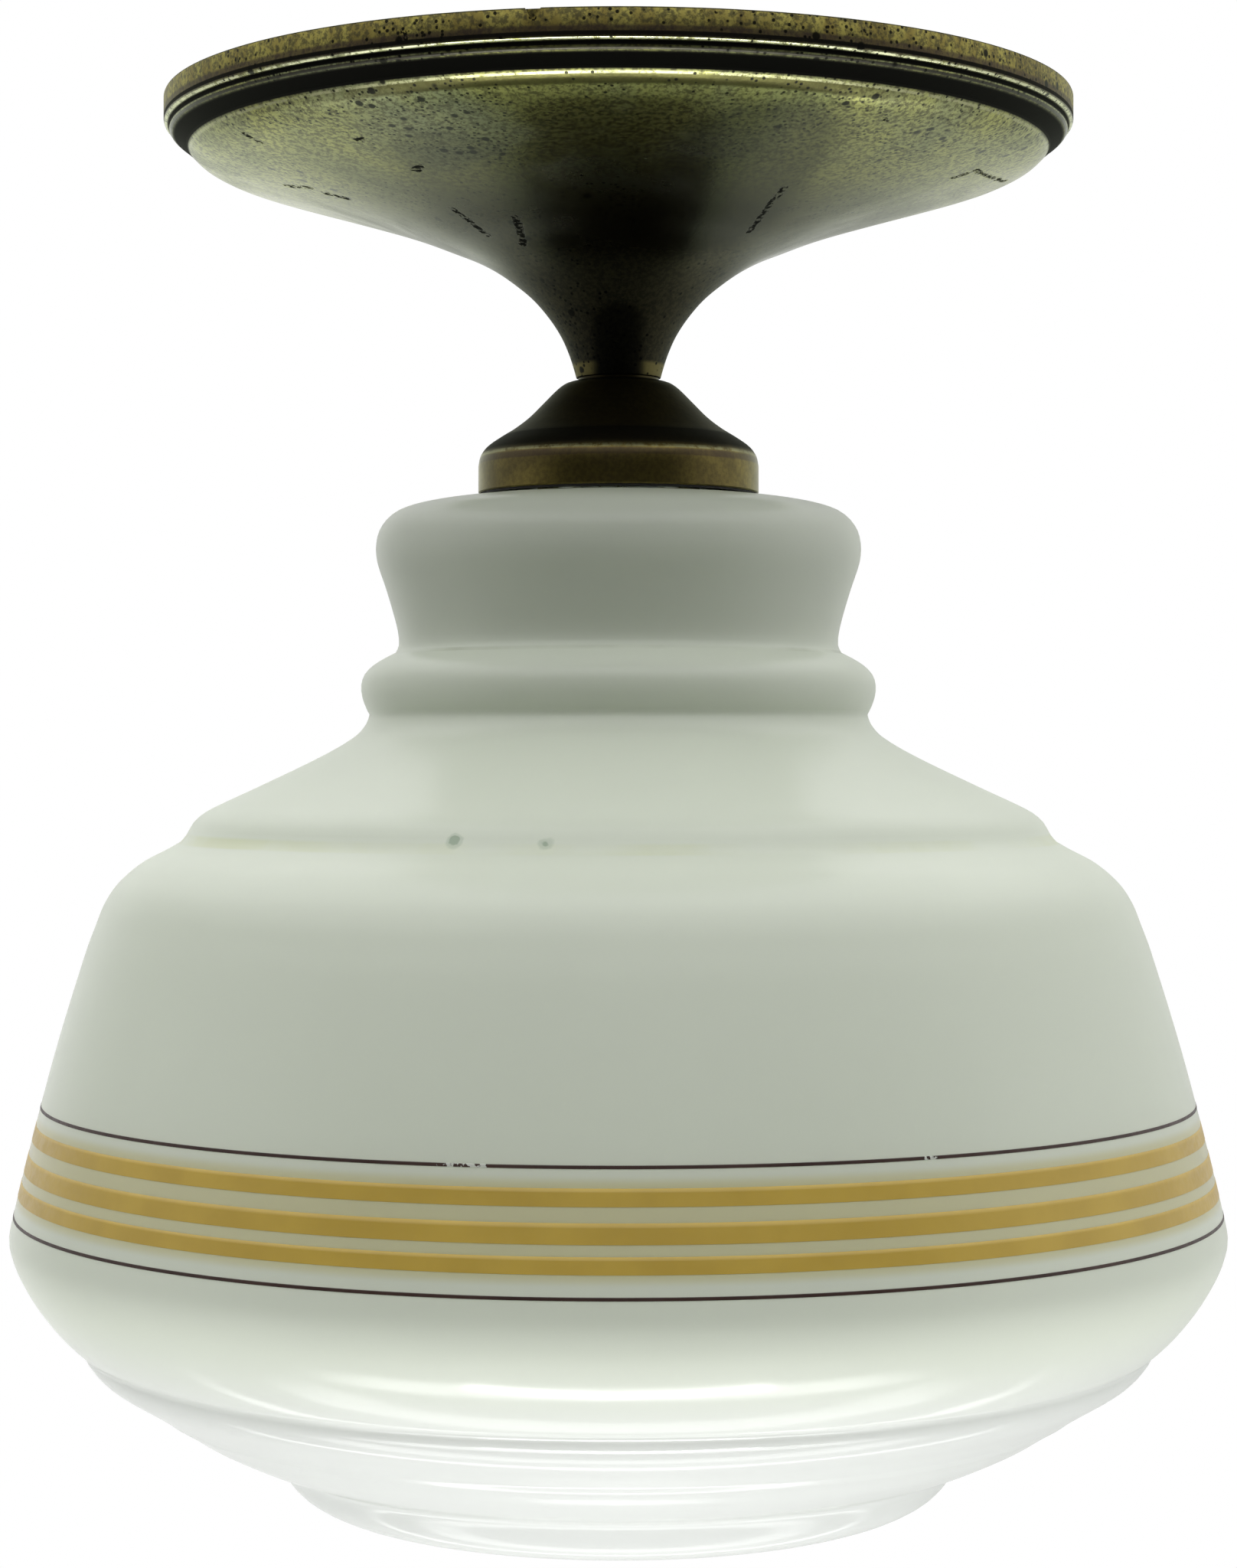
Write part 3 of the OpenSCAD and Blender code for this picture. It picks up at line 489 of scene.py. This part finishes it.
# heights and widths in millimetres
opalLook = {
    "colour": (0.86, 0.895, 0.815),
    "cloudy": 0.97,                 # share of that colour in the clouds
    "grain": 240.0,
    "through": 0.46,                # share of light that passes a face
    "index": 1.5,
    "stained": (-208.5, -225.5),    # between these heights the bands' amber has crept into the glass
    "stainSoft": 1,
    "stain": (0.72, (0.74, 0.70, 0.42)),    # strength and colour
    # tints in the steps: radius, height, width, colour; the first a faint stain, the second a darker line in
    # the waist's crease
    "seams": [(90.0, -152.4, 1.8, (0.80, 0.83, 0.62)), (46.7, -114.1, 0.8, (0.5, 0.53, 0.42))],
    "patches": 22.0,
    "patchSpan": (0.45, 0.7, 0.0, 0.8),
    "chips": [(-30.0, -83.6, -150.6), (-13.4, -88.1, -151.4)],
    "chip": [(3.6, 0.3), (1.9, 0.7)],       # width and strength of its shade and of its core
    "chipColour": (0.34, 0.44, 0.34),
    "foot": (-238.0, -260.0, (0.79, 0.805, 0.79)),      # painted light: between these heights the glass turns whiter, as its brightly lit bottom looks
    "dust": (-200.0, -150.0, 0.11, 0.27),   # roughness below one height and above the other
    "relief": (0.0004, 0.25),
}


def letThrough(tree, skin, colour, share):
    behind = put(tree, "BsdfTranslucent", {"Color": colour})
    both = put(tree, "MixShader", {0: share, 1: skin.outputs[0], 2: behind.outputs[0]})
    tree.links.new(both.outputs[0], tree.nodes["Material Output"].inputs[0])


def opalGlass():
    material, tree, place, skin = newMaterial("opalGlass")
    look = opalLook
    marks = placeGroup(tree, grain, place, Scale=look["grain"])
    colour = mixColour(tree, marks["Cloud"], look["colour"], [c * look["cloudy"] for c in look["colour"]])
    height = placeGroup(tree, turned, place)["Height"]
    top, low = look["stained"]
    soft = look["stainSoft"]
    aboveLow = ramp(tree, height, low - soft, low + soft)
    belowTop = ramp(tree, height, top + soft, top - soft)
    strength, tone = look["stain"]
    stained = calc(tree, "MULTIPLY", calc(tree, "MULTIPLY", aboveLow, belowTop), strength)
    colour = mixColour(tree, stained, colour, tone)
    patchy = ramp(tree, noise(tree, place, look["patches"]), *look["patchSpan"])
    for radius, level, width, stain in look["seams"]:
        seam = ringMaskAt(tree, place, radius, level, width)
        colour = mixColour(tree, calc(tree, "MULTIPLY", seam, patchy), colour, stain)
    hollow = marks["Cloud"]
    for spot in look["chips"]:
        for width, strength in look["chip"]:
            chip = streakMask(tree, place, spot, spot, width, Warp=marks["Fine"])
            colour = mixColour(tree, calc(tree, "MULTIPLY", chip, strength), colour, look["chipColour"])
        hollow = calc(tree, "SUBTRACT", hollow, chip)
    # painted light: the brightly lit bottom of the glass is made whiter
    start, end, white = look["foot"]
    colour = mixColour(tree, ramp(tree, height, start, end), colour, white)
    tree.links.new(colour, skin.inputs["Base Color"])
    tree.links.new(ramp(tree, height, *look["dust"]), skin.inputs["Roughness"])
    skin.inputs["IOR"].default_value = look["index"]
    tree.links.new(bump(tree, hollow, *look["relief"]), skin.inputs["Normal"])
    letThrough(tree, skin, colour, look["through"])
    return material


paintLook = {
    "grain": 700.0,
    "toneSpan": (0.3, 0.7),
    "flecks": (900.0, 2.0),      # scale and detail of the noise that breaks a worn place up
    "fleckSpan": (0.5, 0.56, 0.0, 0.8),
    "gapWidth": 1.6,
    "roughSpread": 0.06,
    "relief": (0.00002, 0.6),
    "through": 0.6,      # share of what the bare glass lets through
    # two tones and the roughness
    "amber": ((0.66, 0.47, 0.085), (0.60, 0.42, 0.075), 0.34),
    "brown": ((0.042, 0.018, 0.013), (0.06, 0.028, 0.02), 0.4),
    # worn places of the dark line, from and to, in millimetres
    "wear": [((-31, -114.5, -206.2), (-21, -116.7, -206.2)), ((54.2, -105.4, -206.2), (56, -104.5, -206.2))],
}


def paint(name, tones, wear=()):
    material, tree, place, skin = newMaterial(name)
    look = paintLook
    colour, dark, roughness = tones
    marks = placeGroup(tree, grain, place, Scale=look["grain"])
    tone = mixColour(tree, ramp(tree, marks["Cloud"], *look["toneSpan"]), colour, dark)
    flecks = ramp(tree, noise(tree, place, *look["flecks"]), *look["fleckSpan"])
    for start, end in wear:
        gap = streakMask(tree, place, start, end, look["gapWidth"])
        tone = mixColour(tree, calc(tree, "MULTIPLY", gap, flecks), tone, opalLook["colour"])
    spread = look["roughSpread"]
    smoothness = ramp(tree, marks["Fine"], *look["toneSpan"], roughness - spread, roughness + spread)
    tree.links.new(tone, skin.inputs["Base Color"])
    tree.links.new(smoothness, skin.inputs["Roughness"])
    tree.links.new(bump(tree, marks["Fine"], *look["relief"]), skin.inputs["Normal"])
    letThrough(tree, skin, tone, opalLook["through"] * look["through"])
    return material


plainLook = {
    "toneSpan": (0.35, 0.65),
    "roughSpan": (0.25, 0.75),
    "roughSpread": 0.08,
    "bump": 0.5,
}


def plain(name, colour, other, roughness, metallic=0.0, scale=300.0, relief=0.00003):
    # a one-colour finish with clouds of another tone and a fine grain
    material, tree, place, skin = newMaterial(name)
    marks = placeGroup(tree, grain, place, Scale=scale)
    tone = mixColour(tree, ramp(tree, marks["Cloud"], *plainLook["toneSpan"]), colour, other)
    spread = plainLook["roughSpread"]
    smoothness = ramp(tree, marks["Fine"], *plainLook["roughSpan"], roughness - spread, roughness + spread)
    tree.links.new(tone, skin.inputs["Base Color"])
    tree.links.new(smoothness, skin.inputs["Roughness"])
    skin.inputs["Metallic"].default_value = metallic
    tree.links.new(bump(tree, marks["Fine"], relief, plainLook["bump"]), skin.inputs["Normal"])
    return material


clearLook = {"grain": 400.0, "cloudy": 0.96}


def clearGlass(name, colour, roughness, through):
    material, tree, place, skin = newMaterial(name)
    marks = placeGroup(tree, grain, place, Scale=clearLook["grain"])
    cloudy = [c * clearLook["cloudy"] for c in colour]
    tree.links.new(mixColour(tree, marks["Cloud"], colour, cloudy), skin.inputs["Base Color"])
    skin.inputs["Roughness"].default_value = roughness
    skin.inputs["Transmission Weight"].default_value = through
    return material


print("finishes ready")


spanParts = {"fewest": 2, "most": 8}


def smoothLine(knots, step):
    # the curve that the CAD outline follows: each span leaves its knots along the neighbours' direction
    points = [Vector(k) for k in knots]
    last = len(points) - 1
    heading = [(points[min(i + 1, last)] - points[max(i - 1, 0)]).normalized() for i in range(last + 1)]
    line = []
    for a, b, leaves, arrives in zip(points, points[1:], heading, heading[1:]):
        length = (b - a).length
        parts = max(spanParts["fewest"], min(spanParts["most"], round(length / step)))
        for k in range(parts):
            t = k / parts
            point = a * (2 * t ** 3 - 3 * t ** 2 + 1) + leaves * length * (t ** 3 - 2 * t ** 2 + t)
            line.append(point + b * (3 * t ** 2 - 2 * t ** 3) + arrives * length * (t ** 3 - t ** 2))
    return line + [points[-1]]


def inward(line, thickness):
    # a line that runs down the outside, moved towards the inside
    last = len(line) - 1
    moved = []
    for i, point in enumerate(line):
        way = (line[min(i + 1, last)] - line[max(i - 1, 0)]).normalized()
        moved.append(point + thickness * Vector((way.y, -way.x)))
    return moved


def spinShape(outline, steps):
    # an outline whose ends both lie on the axis is closed by the spin itself
    bm = bmesh.new()
    verts = [bm.verts.new((r * mm, 0, z * mm)) for r, z in outline]
    edges = [bm.edges.new(pair) for pair in zip(verts, verts[1:])]
    if outline[0][0] > 0 and outline[-1][0] > 0:
        edges.append(bm.edges.new((verts[-1], verts[0])))
    bmesh.ops.spin(bm, geom=verts + edges, cent=(0, 0, 0), axis=(0, 0, 1), angle=2 * math.pi,
                   steps=steps, use_merge=True)
    bmesh.ops.remove_doubles(bm, verts=bm.verts, dist=1e-6)
    bmesh.ops.recalc_face_normals(bm, faces=bm.faces)
    return bm


def finishPiece(name, bm, material, body, replaced, sharpAngle=40):
    # the mesh becomes a piece that rides on its body and stands for the CAD nodes replaced
    mesh = bpy.data.meshes.new(name)
    bm.to_mesh(mesh)
    bm.free()
    mesh.shade_smooth()
    mesh.set_sharp_from_angle(angle=math.radians(sharpAngle))
    piece = bpy.data.objects.new(name, mesh)
    bpy.context.scene.collection.objects.link(piece)
    mesh.materials.append(material)
    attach(piece, body)
    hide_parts(*replaced)
    print(name, "has", len(mesh.polygons), "faces")
    return piece


canopyShape = {
    "rim": 94.0,
    "thickness": 0.9,
    "bead": [(94, -5.0), (93.8, -5.5), (93.3, -5.85)],
    "cove": [(92.9, -5.95), (92.85, -6.8), (92.4, -7.4), (91.1, -8.4), (89.4, -9.8)],
    "dish": [(88.9, -10.4), (88.3, -11), (87.3, -11.9), (86, -12.7), (83.4, -13.9), (77.2, -15.9),
             (62.6, -20.2), (51.4, -23.6), (43.7, -26.2), (36.8, -28.9), (30.7, -31.4), (26, -33.9),
             (21.7, -36.9), (17.8, -40.2), (14.4, -44.2), (11.9, -48.1), (10.2, -52), (9.3, -54.8),
             (8.8, -56.6)],
    "inside": [(90.4, -7.9), (91.6, -6.9), (93.1, -4.7)],
    "fineness": {"bead": 0.2, "cove": 0.5, "dish": 1.2},
    "hem": {"width": 3.0, "height": 2.8, "round": 0.4, "chamfer": 0.12},      # the rim's edge is folded in
    # the cut in the rim, "turn" degrees to the left of the front; its cutter reaches past the rim by "spare"
    "notch": {"width": 3.0, "lowWidth": 0.6, "height": 2.2, "depth": 1.2, "turn": 9.5, "spare": 1.0},
    "stemHole": 5.3,
    "steps": 192,
    "sharpAngle": 40,
}
canopyFinish = {
    "gold": (0.36, 0.37, 0.12),
    "oxide": (0.21, 0.235, 0.125),
    "dark": (0.06, 0.055, 0.03),
    "wall": ((0.38, 0.34, 0.09), (0.23, 0.185, 0.05)),      # the rim's straight wall, above wallEnd
    "wallEnd": -4.9,
    "wallRough": 0.5,
    "rough": (0.2, 0.32),
    "tone": (34, 84, 0.05),      # painted shade: darkened within one radius, full colour from the other, and how much colour stays within
    "neck": (15, 30, 0.6),       # rough within one radius, as the rest from the other
    "scale": 26.0,
    "speckle": 0.8,
    "pitting": 0.95,
    "rings": [
        # black rings darken the rim's top edge and, as painted shade, the crease above the bead, the cove and
        # the cove's creases
        ("black", 94, 0, 0.4, 0.6),
        ("brown", 94, -4.4, 1.4, 0.75),
        ("black", 94, -4.8, 0.5, 0.8),
        # painted highlight along the rim's lower bead, broken up by noise
        ("bright", 93.55, -5.6, 0.4, 1.0),
        ("black", 90.6, -8.9, 2.6, 1.0),
        ("black", 92.95, -6.3, 0.6, 0.95),
        # painted shade over the highlight on the cove's lower edge
        ("dull", 92.55, -7.3, 0.45, 0.95),
        ("black", 89.3, -9.9, 0.5, 0.9),
        # painted shade under the dish's bead, on the front only
        ("olive", 87.6, -11.8, 1.9, 0.94),
        # painted highlight: glints at both sides of the neck's end, kept off its front
        ("paintedGlint", 9.0, -55.3, 1.9, 0.55),
        # wear and painted highlight along the dish's bead
        ("wearAndGlint", 88.5, -10.75, 0.4, 0.75),
    ],
    "shades": [
        ((27, -62, -18), (19, -34, -27), 40, 0.56),
        ((-31, -52, -22), (-22, -20, -31), 34, 0.35),
        ((0, -12, -47), (0, -9, -56.6), 13, 0.7),
    ],
    "marks": [
        # painted shade inside the rim's cut
        ((-15.4, -92.5, 0), (-15.4, -92.7, -1.7), 1.6),
        ((-68, -10.7, -18.4), (-63, -15.7, -19.5), 2.2),
        ((-59.6, -14.5, -20.6), (-55.6, -15.5, -21.7), 2.6),
        ((-50, -54.2, -16.9), (-49, -55.8, -16.7), 2.2),
        ((-39.6, -44.8, -21), (-38.6, -47, -20.6), 2.6),
        ((-73.5, -42.2, -13.5), (-70.4, -39.7, -14.9), 1.6),
        ((-33.4, -29.3, -26), (-26.5, -21.2, -30.1), 1.8),
        ((-20.2, -32.6, -28.3), (-19.4, -22.2, -32.1), 2.2),
        ((26.3, -22.9, -29.7), (32.7, -39.7, -23.6), 1.7),
        ((68.2, -17.9, -17.9), (70.6, -18.2, -17.1), 2.4),
        ((72.4, -19.3, -16.6), (81.3, 5.5, -14.6), 1.6),
        ((50.4, -63.6, -14.8), (50.6, -62.8, -14.9), 1.6),
        ((-39.3, -85.4, -3), (-39, -85.5, -4), 2.0),
    ],
}


def makeCanopy():
    shape, hem = canopyShape, canopyShape["hem"]
    rim, neckEnd, thickness = shape["rim"], shape["dish"][-1][1], shape["thickness"]
    soft, chamfer, folded = hem["round"], hem["chamfer"], -hem["height"]
    bead, cove, dish = [smoothLine(shape[part], fineness) for part, fineness in shape["fineness"].items()]
    floor = neckEnd + thickness
    within = [p for p in inward(dish, thickness) if p.y > floor]
    wall, fold = rim - thickness, rim - hem["width"]
    outline = [(rim - soft, 0), (rim - chamfer, -chamfer), (rim, -soft)]
    outline += [tuple(p) for p in bead + cove + dish]
    outline += [(shape["stemHole"], neckEnd), (shape["stemHole"], floor), (within[-1].x, floor)]
    outline += [tuple(p) for p in reversed(within)] + shape["inside"]
    outline += [(wall, folded - soft), (wall - soft, folded), (fold + soft, folded)]
    outline += [(fold, folded + soft), (fold, -soft), (fold + soft, 0)]
    bm = spinShape(outline, shape["steps"])
    cutNotch(finishPiece("canopyShell", bm, canopyBrass, "fixture", ["canopy"]))


def cutNotch(piece):
    # a tapering cut from the rim's edge, which leaves the hem's inner fold whole
    rim, notch = canopyShape["rim"], canopyShape["notch"]
    half, lowHalf, spare = notch["width"] / 2, notch["lowWidth"] / 2, notch["spare"]
    bm = bmesh.new()
    corners = [(-half, spare), (-half, 0), (-lowHalf, -notch["height"]), (lowHalf, -notch["height"]),
               (half, 0), (half, spare)]
    face = bm.faces.new([bm.verts.new((x * mm, -(rim + spare) * mm, z * mm)) for x, z in corners])
    pushed = bmesh.ops.extrude_face_region(bm, geom=[face])["geom"]
    bmesh.ops.translate(bm, verts=[v for v in pushed if isinstance(v, bmesh.types.BMVert)],
                        vec=(0, (notch["depth"] + spare) * mm, 0))
    turn = Matrix.Rotation(-math.radians(notch["turn"]), 3, "Z")
    bmesh.ops.rotate(bm, verts=bm.verts, cent=(0, 0, 0), matrix=turn)
    bmesh.ops.recalc_face_normals(bm, faces=bm.faces)
    mesh = bpy.data.meshes.new("notchCutter")
    bm.to_mesh(mesh)
    bm.free()
    cutter = bpy.data.objects.new("notchCutter", mesh)
    bpy.context.scene.collection.objects.link(cutter)
    cut = piece.modifiers.new("notch", "BOOLEAN")
    cut.object = cutter
    cut.operation = "DIFFERENCE"
    cut.solver = "EXACT"
    whole = piece.data
    piece.data = bpy.data.meshes.new_from_object(piece.evaluated_get(bpy.context.evaluated_depsgraph_get()))
    piece.modifiers.clear()
    piece.data.set_sharp_from_angle(angle=math.radians(canopyShape["sharpAngle"]))
    bpy.data.objects.remove(cutter)
    bpy.data.meshes.remove(mesh)
    bpy.data.meshes.remove(whole)


cupShape = {
    "curve": [(9.3, -57.4), (11, -57.9), (12.7, -59.1), (15.6, -62), (18.6, -65), (21.7, -67.4),
              (24.9, -69.4), (27.5, -71.3), (28.8, -73.2), (29.2, -75.2)],
    "fineness": 0.8,
    "band": [-77.0, -79.0],
    "edge": -80.8,
    "round": 0.25,
    "thickness": 0.9,
    "stemHole": 5.3,
    "steps": 144,
}
cupFinish = {
    "gold": (0.22, 0.175, 0.05),
    "oxide": (0.12, 0.095, 0.035),
    "dark": (0.04, 0.03, 0.02),
    "rough": (0.28, 0.36),
    "tone": (14, 30, 0.9),
    "scale": 45.0,
    "speckle": 0.3,
    "pitting": 0.0,
    "rings": [
        # painted shade: the black rings darken the cup's slope and its top by the neck; the ring at the
        # shoulder is wear and a painted highlight
        ("black", 18, -64, 14, 0.52),
        ("black", 26.4, -70.2, 4.2, 0.75),
        ("brown", 29.1, -74.2, 0.9, 0.6),
        ("wearAndGlint", 28.7, -73.0, 0.5, 0.45),
        ("black", 9.4, -57.6, 2.5, 0.8),
    ],
    "shades": [],
    "marks": [],
}


def makeCup():
    shape = cupShape
    top, radius, edge, soft = shape["curve"][0][1], shape["curve"][-1][0], shape["edge"], shape["round"]
    line = [Vector((shape["stemHole"], top))] + smoothLine(shape["curve"], shape["fineness"])
    line += [Vector((radius, z)) for z in (*shape["band"], edge + soft)] + [Vector((radius - soft, edge))]
    within = inward(line, shape["thickness"])
    within[-1].y = edge
    bm = spinShape([tuple(p) for p in line + within[::-1]], shape["steps"])
    finishPiece("cupShell", bm, cupBrass, "fixture", ["cup"])


washerShape = {
    "outer": 8.4,
    "hole": 5.2,
    "top": -56.6,
    "low": -57.4,
    "round": 0.2,
    "steps": 96,
}
# painted shade: the ring between the neck and the cup is kept nearly black
washerFinish = {
    "gold": (0.06, 0.05, 0.02),
    "oxide": (0.03, 0.025, 0.012),
    "dark": (0.02, 0.016, 0.01),
    "rough": (0.34, 0.42),
    "tone": (2, 4, 1.0),
    "scale": 60.0,
    "speckle": 0.2,
    "pitting": 0.0,
    "rings": [],
    "shades": [],
    "marks": [],
}


def makeNeckWasher():
    s = washerShape
    outer, hole, top, low, soft = [s[key] for key in ("outer", "hole", "top", "low", "round")]
    outline = [(hole, top), (outer - soft, top), (outer, top - soft)]
    outline += [(outer, low + soft), (outer - soft, low), (hole, low)]
    bm = spinShape(outline, s["steps"])
    finishPiece("neckRing", bm, ringBrass, "fixture", ["neck_washer"])


globeShape = {
    "mouth": 26.0,
    "thickness": 3.0,
    "lip": 1.1,      # what the mouth's plain wall starts above the inside's line
    "fineness": {"out": 1.3, "in": 4.0},
    "top": [(26, -81.5), (33.7, -82.1), (41.6, -83.3), (46, -84.7), (48.4, -86.6), (49.8, -88.8),
            (50.4, -91.2), (50.4, -93.8), (49.9, -96.2), (48.4, -100.6), (46.9, -105.6), (45.9, -109.6),
            (45.7, -112.4), (46.4, -114)],
    "ring": [(46.4, -114), (48.4, -115), (51, -116.6), (52.8, -118.5), (53.5, -120.7), (53.3, -123.1),
             (52.5, -125.4), (51.8, -126.8)],
    "flare": [(51.8, -126.8), (52.4, -128.6), (54.6, -131.2), (61.4, -135.3), (74.8, -141.8), (81.7, -145),
              (85.6, -147), (87.9, -149), (89.4, -151.6), (90.6, -153)],
    "cone": [(90.6, -153), (93.4, -154.6), (98.6, -157.4), (103.4, -161.6), (106, -165.6), (107.6, -169.6),
             (109.6, -175), (115.7, -195), (121.5, -217.2), (124.1, -228), (125, -232.6), (124.6, -235.6),
             (123, -239.8), (119.8, -245.3), (115.9, -250.3), (113, -253.2), (111.9, -254.1)],
    "tier": [(110.7, -254.8), (109.8, -257), (107, -260.2), (100.5, -264.3), (96.2, -267)],
    "low": [(95.4, -267.7), (92.7, -269.3), (87.8, -272.4), (80.2, -276.1), (76.6, -277.4)],
    "base": [(75, -277.9), (71.9, -279.3), (70.1, -281.4), (68.2, -284), (65.8, -286.2), (62, -288),
             (55.6, -289.2), (40, -290.4), (0, -291.2)],
    # knots that only the inside has, in its order
    "inner": {"neck": [(48.4, -116.2), (51.4, -118.4)], "waist": [(52, -127.2)], "step": [(91.4, -152.2)],
              "edge": [(114, -252.4), (108.6, -258.6)], "foot": [(74.6, -278.6), (69.6, -282.4)]},
    "steps": 180,
    "sharpAngle": 60,
}


def glassInside():
    # rounder than the moulded outside: some knots of each section, moved in by the thickness
    s, inner = globeShape, globeShape["inner"]
    knots = s["top"][:13] + inner["neck"] + s["ring"][4:6] + inner["waist"] + s["flare"][3:7] + inner["step"]
    knots += s["cone"][2:14] + inner["edge"] + s["tier"][3:4] + s["low"][1:4] + inner["foot"] + s["base"][5:]
    moved = inward([Vector(k) for k in knots], s["thickness"])
    moved[-1].x = 0
    return smoothLine(moved, s["fineness"]["in"])


def makeGlobe():
    s = globeShape
    outside = []
    for part in ("top", "ring", "flare", "cone", "tier", "low", "base"):
        outside += smoothLine(s[part], s["fineness"]["out"])
    within = glassInside()
    outline = [tuple(p) for p in reversed(within[1:])]
    outline += [(s["mouth"], within[1].y + s["lip"])]
    outline += [tuple(p) for p in outside]
    bm = spinShape(outline, s["steps"])
    rings = [name for name in nodes if name.startswith("globe_")]
    finishPiece("glassGlobe", bm, opal, "globe", rings, s["sharpAngle"])


paintShape = {
    "lift": 0.06,      # of the paint's face off the glass
    "sunk": 0.02,      # of its back into the glass
    "levels": 4,
    "bands": {"amber_band_upper": (-209.8, -212.9), "amber_band_middle": (-215.6, -219.2),
              "amber_band_lower": (-221.2, -224.2)},
    "lines": {"dark_line_upper": (-205.95, -206.55), "dark_line_lower": (-227.9, -228.5)},
    "steps": 240,
    "sharpAngle": 80,
}


def glassRadius(height):
    line = smoothLine(globeShape["cone"], globeShape["fineness"]["out"])
    for above, below in zip(line, line[1:]):
        if below.y <= height <= above.y:
            share = (above.y - height) / (above.y - below.y)
            return above.x + (below.x - above.x) * share
    raise ValueError(f"no glass at {height}")


def makePaint(name, span, material):
    top, low = span
    shape = paintShape
    levels = [top + (low - top) * i / shape["levels"] for i in range(shape["levels"] + 1)]
    face = [(glassRadius(z) + shape["lift"], z) for z in levels]
    back = [(glassRadius(z) - shape["sunk"], z) for z in reversed(levels)]
    bm = spinShape(face + back, shape["steps"])
    finishPiece(name.replace("_", "") + "Paint", bm, material, "globe", [name], shape["sharpAngle"])


canopyBrass = agedBrass("canopyBrass", canopyFinish)
cupBrass = agedBrass("cupBrass", cupFinish)
ringBrass = agedBrass("ringBrass", washerFinish)
opal = opalGlass()
amber = paint("amberPaint", paintLook["amber"])
lineBrown = paint("linePaint", paintLook["brown"], paintLook["wear"])

makeCanopy()
makeCup()
makeNeckWasher()
makeGlobe()
for name, span in paintShape["bands"].items():
    makePaint(name, span, amber)
for name, span in paintShape["lines"].items():
    makePaint(name, span, lineBrown)

# finishes of the CAD nodes that keep their own mesh, by slot: name, two tones, roughness and what differs
plainFinishes = {
    "bright_brass": ("brightBrass", (0.66, 0.50, 0.22), (0.58, 0.42, 0.17), 0.3, {"metallic": 1.0}),
    "steel": ("platedSteel", (0.62, 0.63, 0.64), (0.54, 0.55, 0.57), 0.34, {"metallic": 1.0, "scale": 500.0}),
    "zinc": ("galvanised", (0.34, 0.355, 0.365), (0.45, 0.465, 0.475), 0.46, {"metallic": 0.9, "scale": 160.0}),
    "porcelain": ("glazedPorcelain", (0.86, 0.84, 0.79), (0.82, 0.80, 0.74), 0.2,
                  {"scale": 200.0, "relief": 0.00001}),
    "rubber": ("softSleeve", (0.013, 0.012, 0.012), (0.022, 0.021, 0.021), 0.8, {"scale": 900.0}),
    "black_glass": ("blackGlass", (0.012, 0.012, 0.014), (0.02, 0.02, 0.022), 0.14, {}),
    "copper": ("copperLeaf", (0.72, 0.40, 0.27), (0.62, 0.33, 0.22), 0.32, {"metallic": 1.0}),
    "brown_lead": ("brownSleeving", (0.14, 0.065, 0.03), (0.17, 0.08, 0.04), 0.48, {"scale": 900.0}),
    "blue_lead": ("blueSleeving", (0.03, 0.09, 0.24), (0.04, 0.11, 0.29), 0.48, {"scale": 900.0}),
    "green_lead": ("greenSleeving", (0.13, 0.24, 0.04), (0.17, 0.28, 0.05), 0.48, {"scale": 900.0}),
    "filament": ("filamentStrip", (0.92, 0.62, 0.14), (0.85, 0.52, 0.1), 0.5, {"scale": 1500.0}),
}
finishes = {
    "old_brass": cupBrass,
    "opal_glass": opal,
    "amber_paint": amber,
    "brown_paint": lineBrown,
    "lamp_glass": clearGlass("lampGlass", (0.97, 0.96, 0.91), roughness=0.4, through=0.4),
    "clear_glass": clearGlass("clearGlass", (0.92, 0.95, 0.94), roughness=0.05, through=0.95),
}
for slot, (label, colour, other, roughness, more) in plainFinishes.items():
    finishes[slot] = plain(label, colour, other, roughness, **more)

for entry in frame["record"]["subparts"]:
    part = nodes[entry["node"]]
    part.data.materials.clear()
    part.data.materials.append(finishes[entry["material_slot"]])
print("CAD nodes finished")
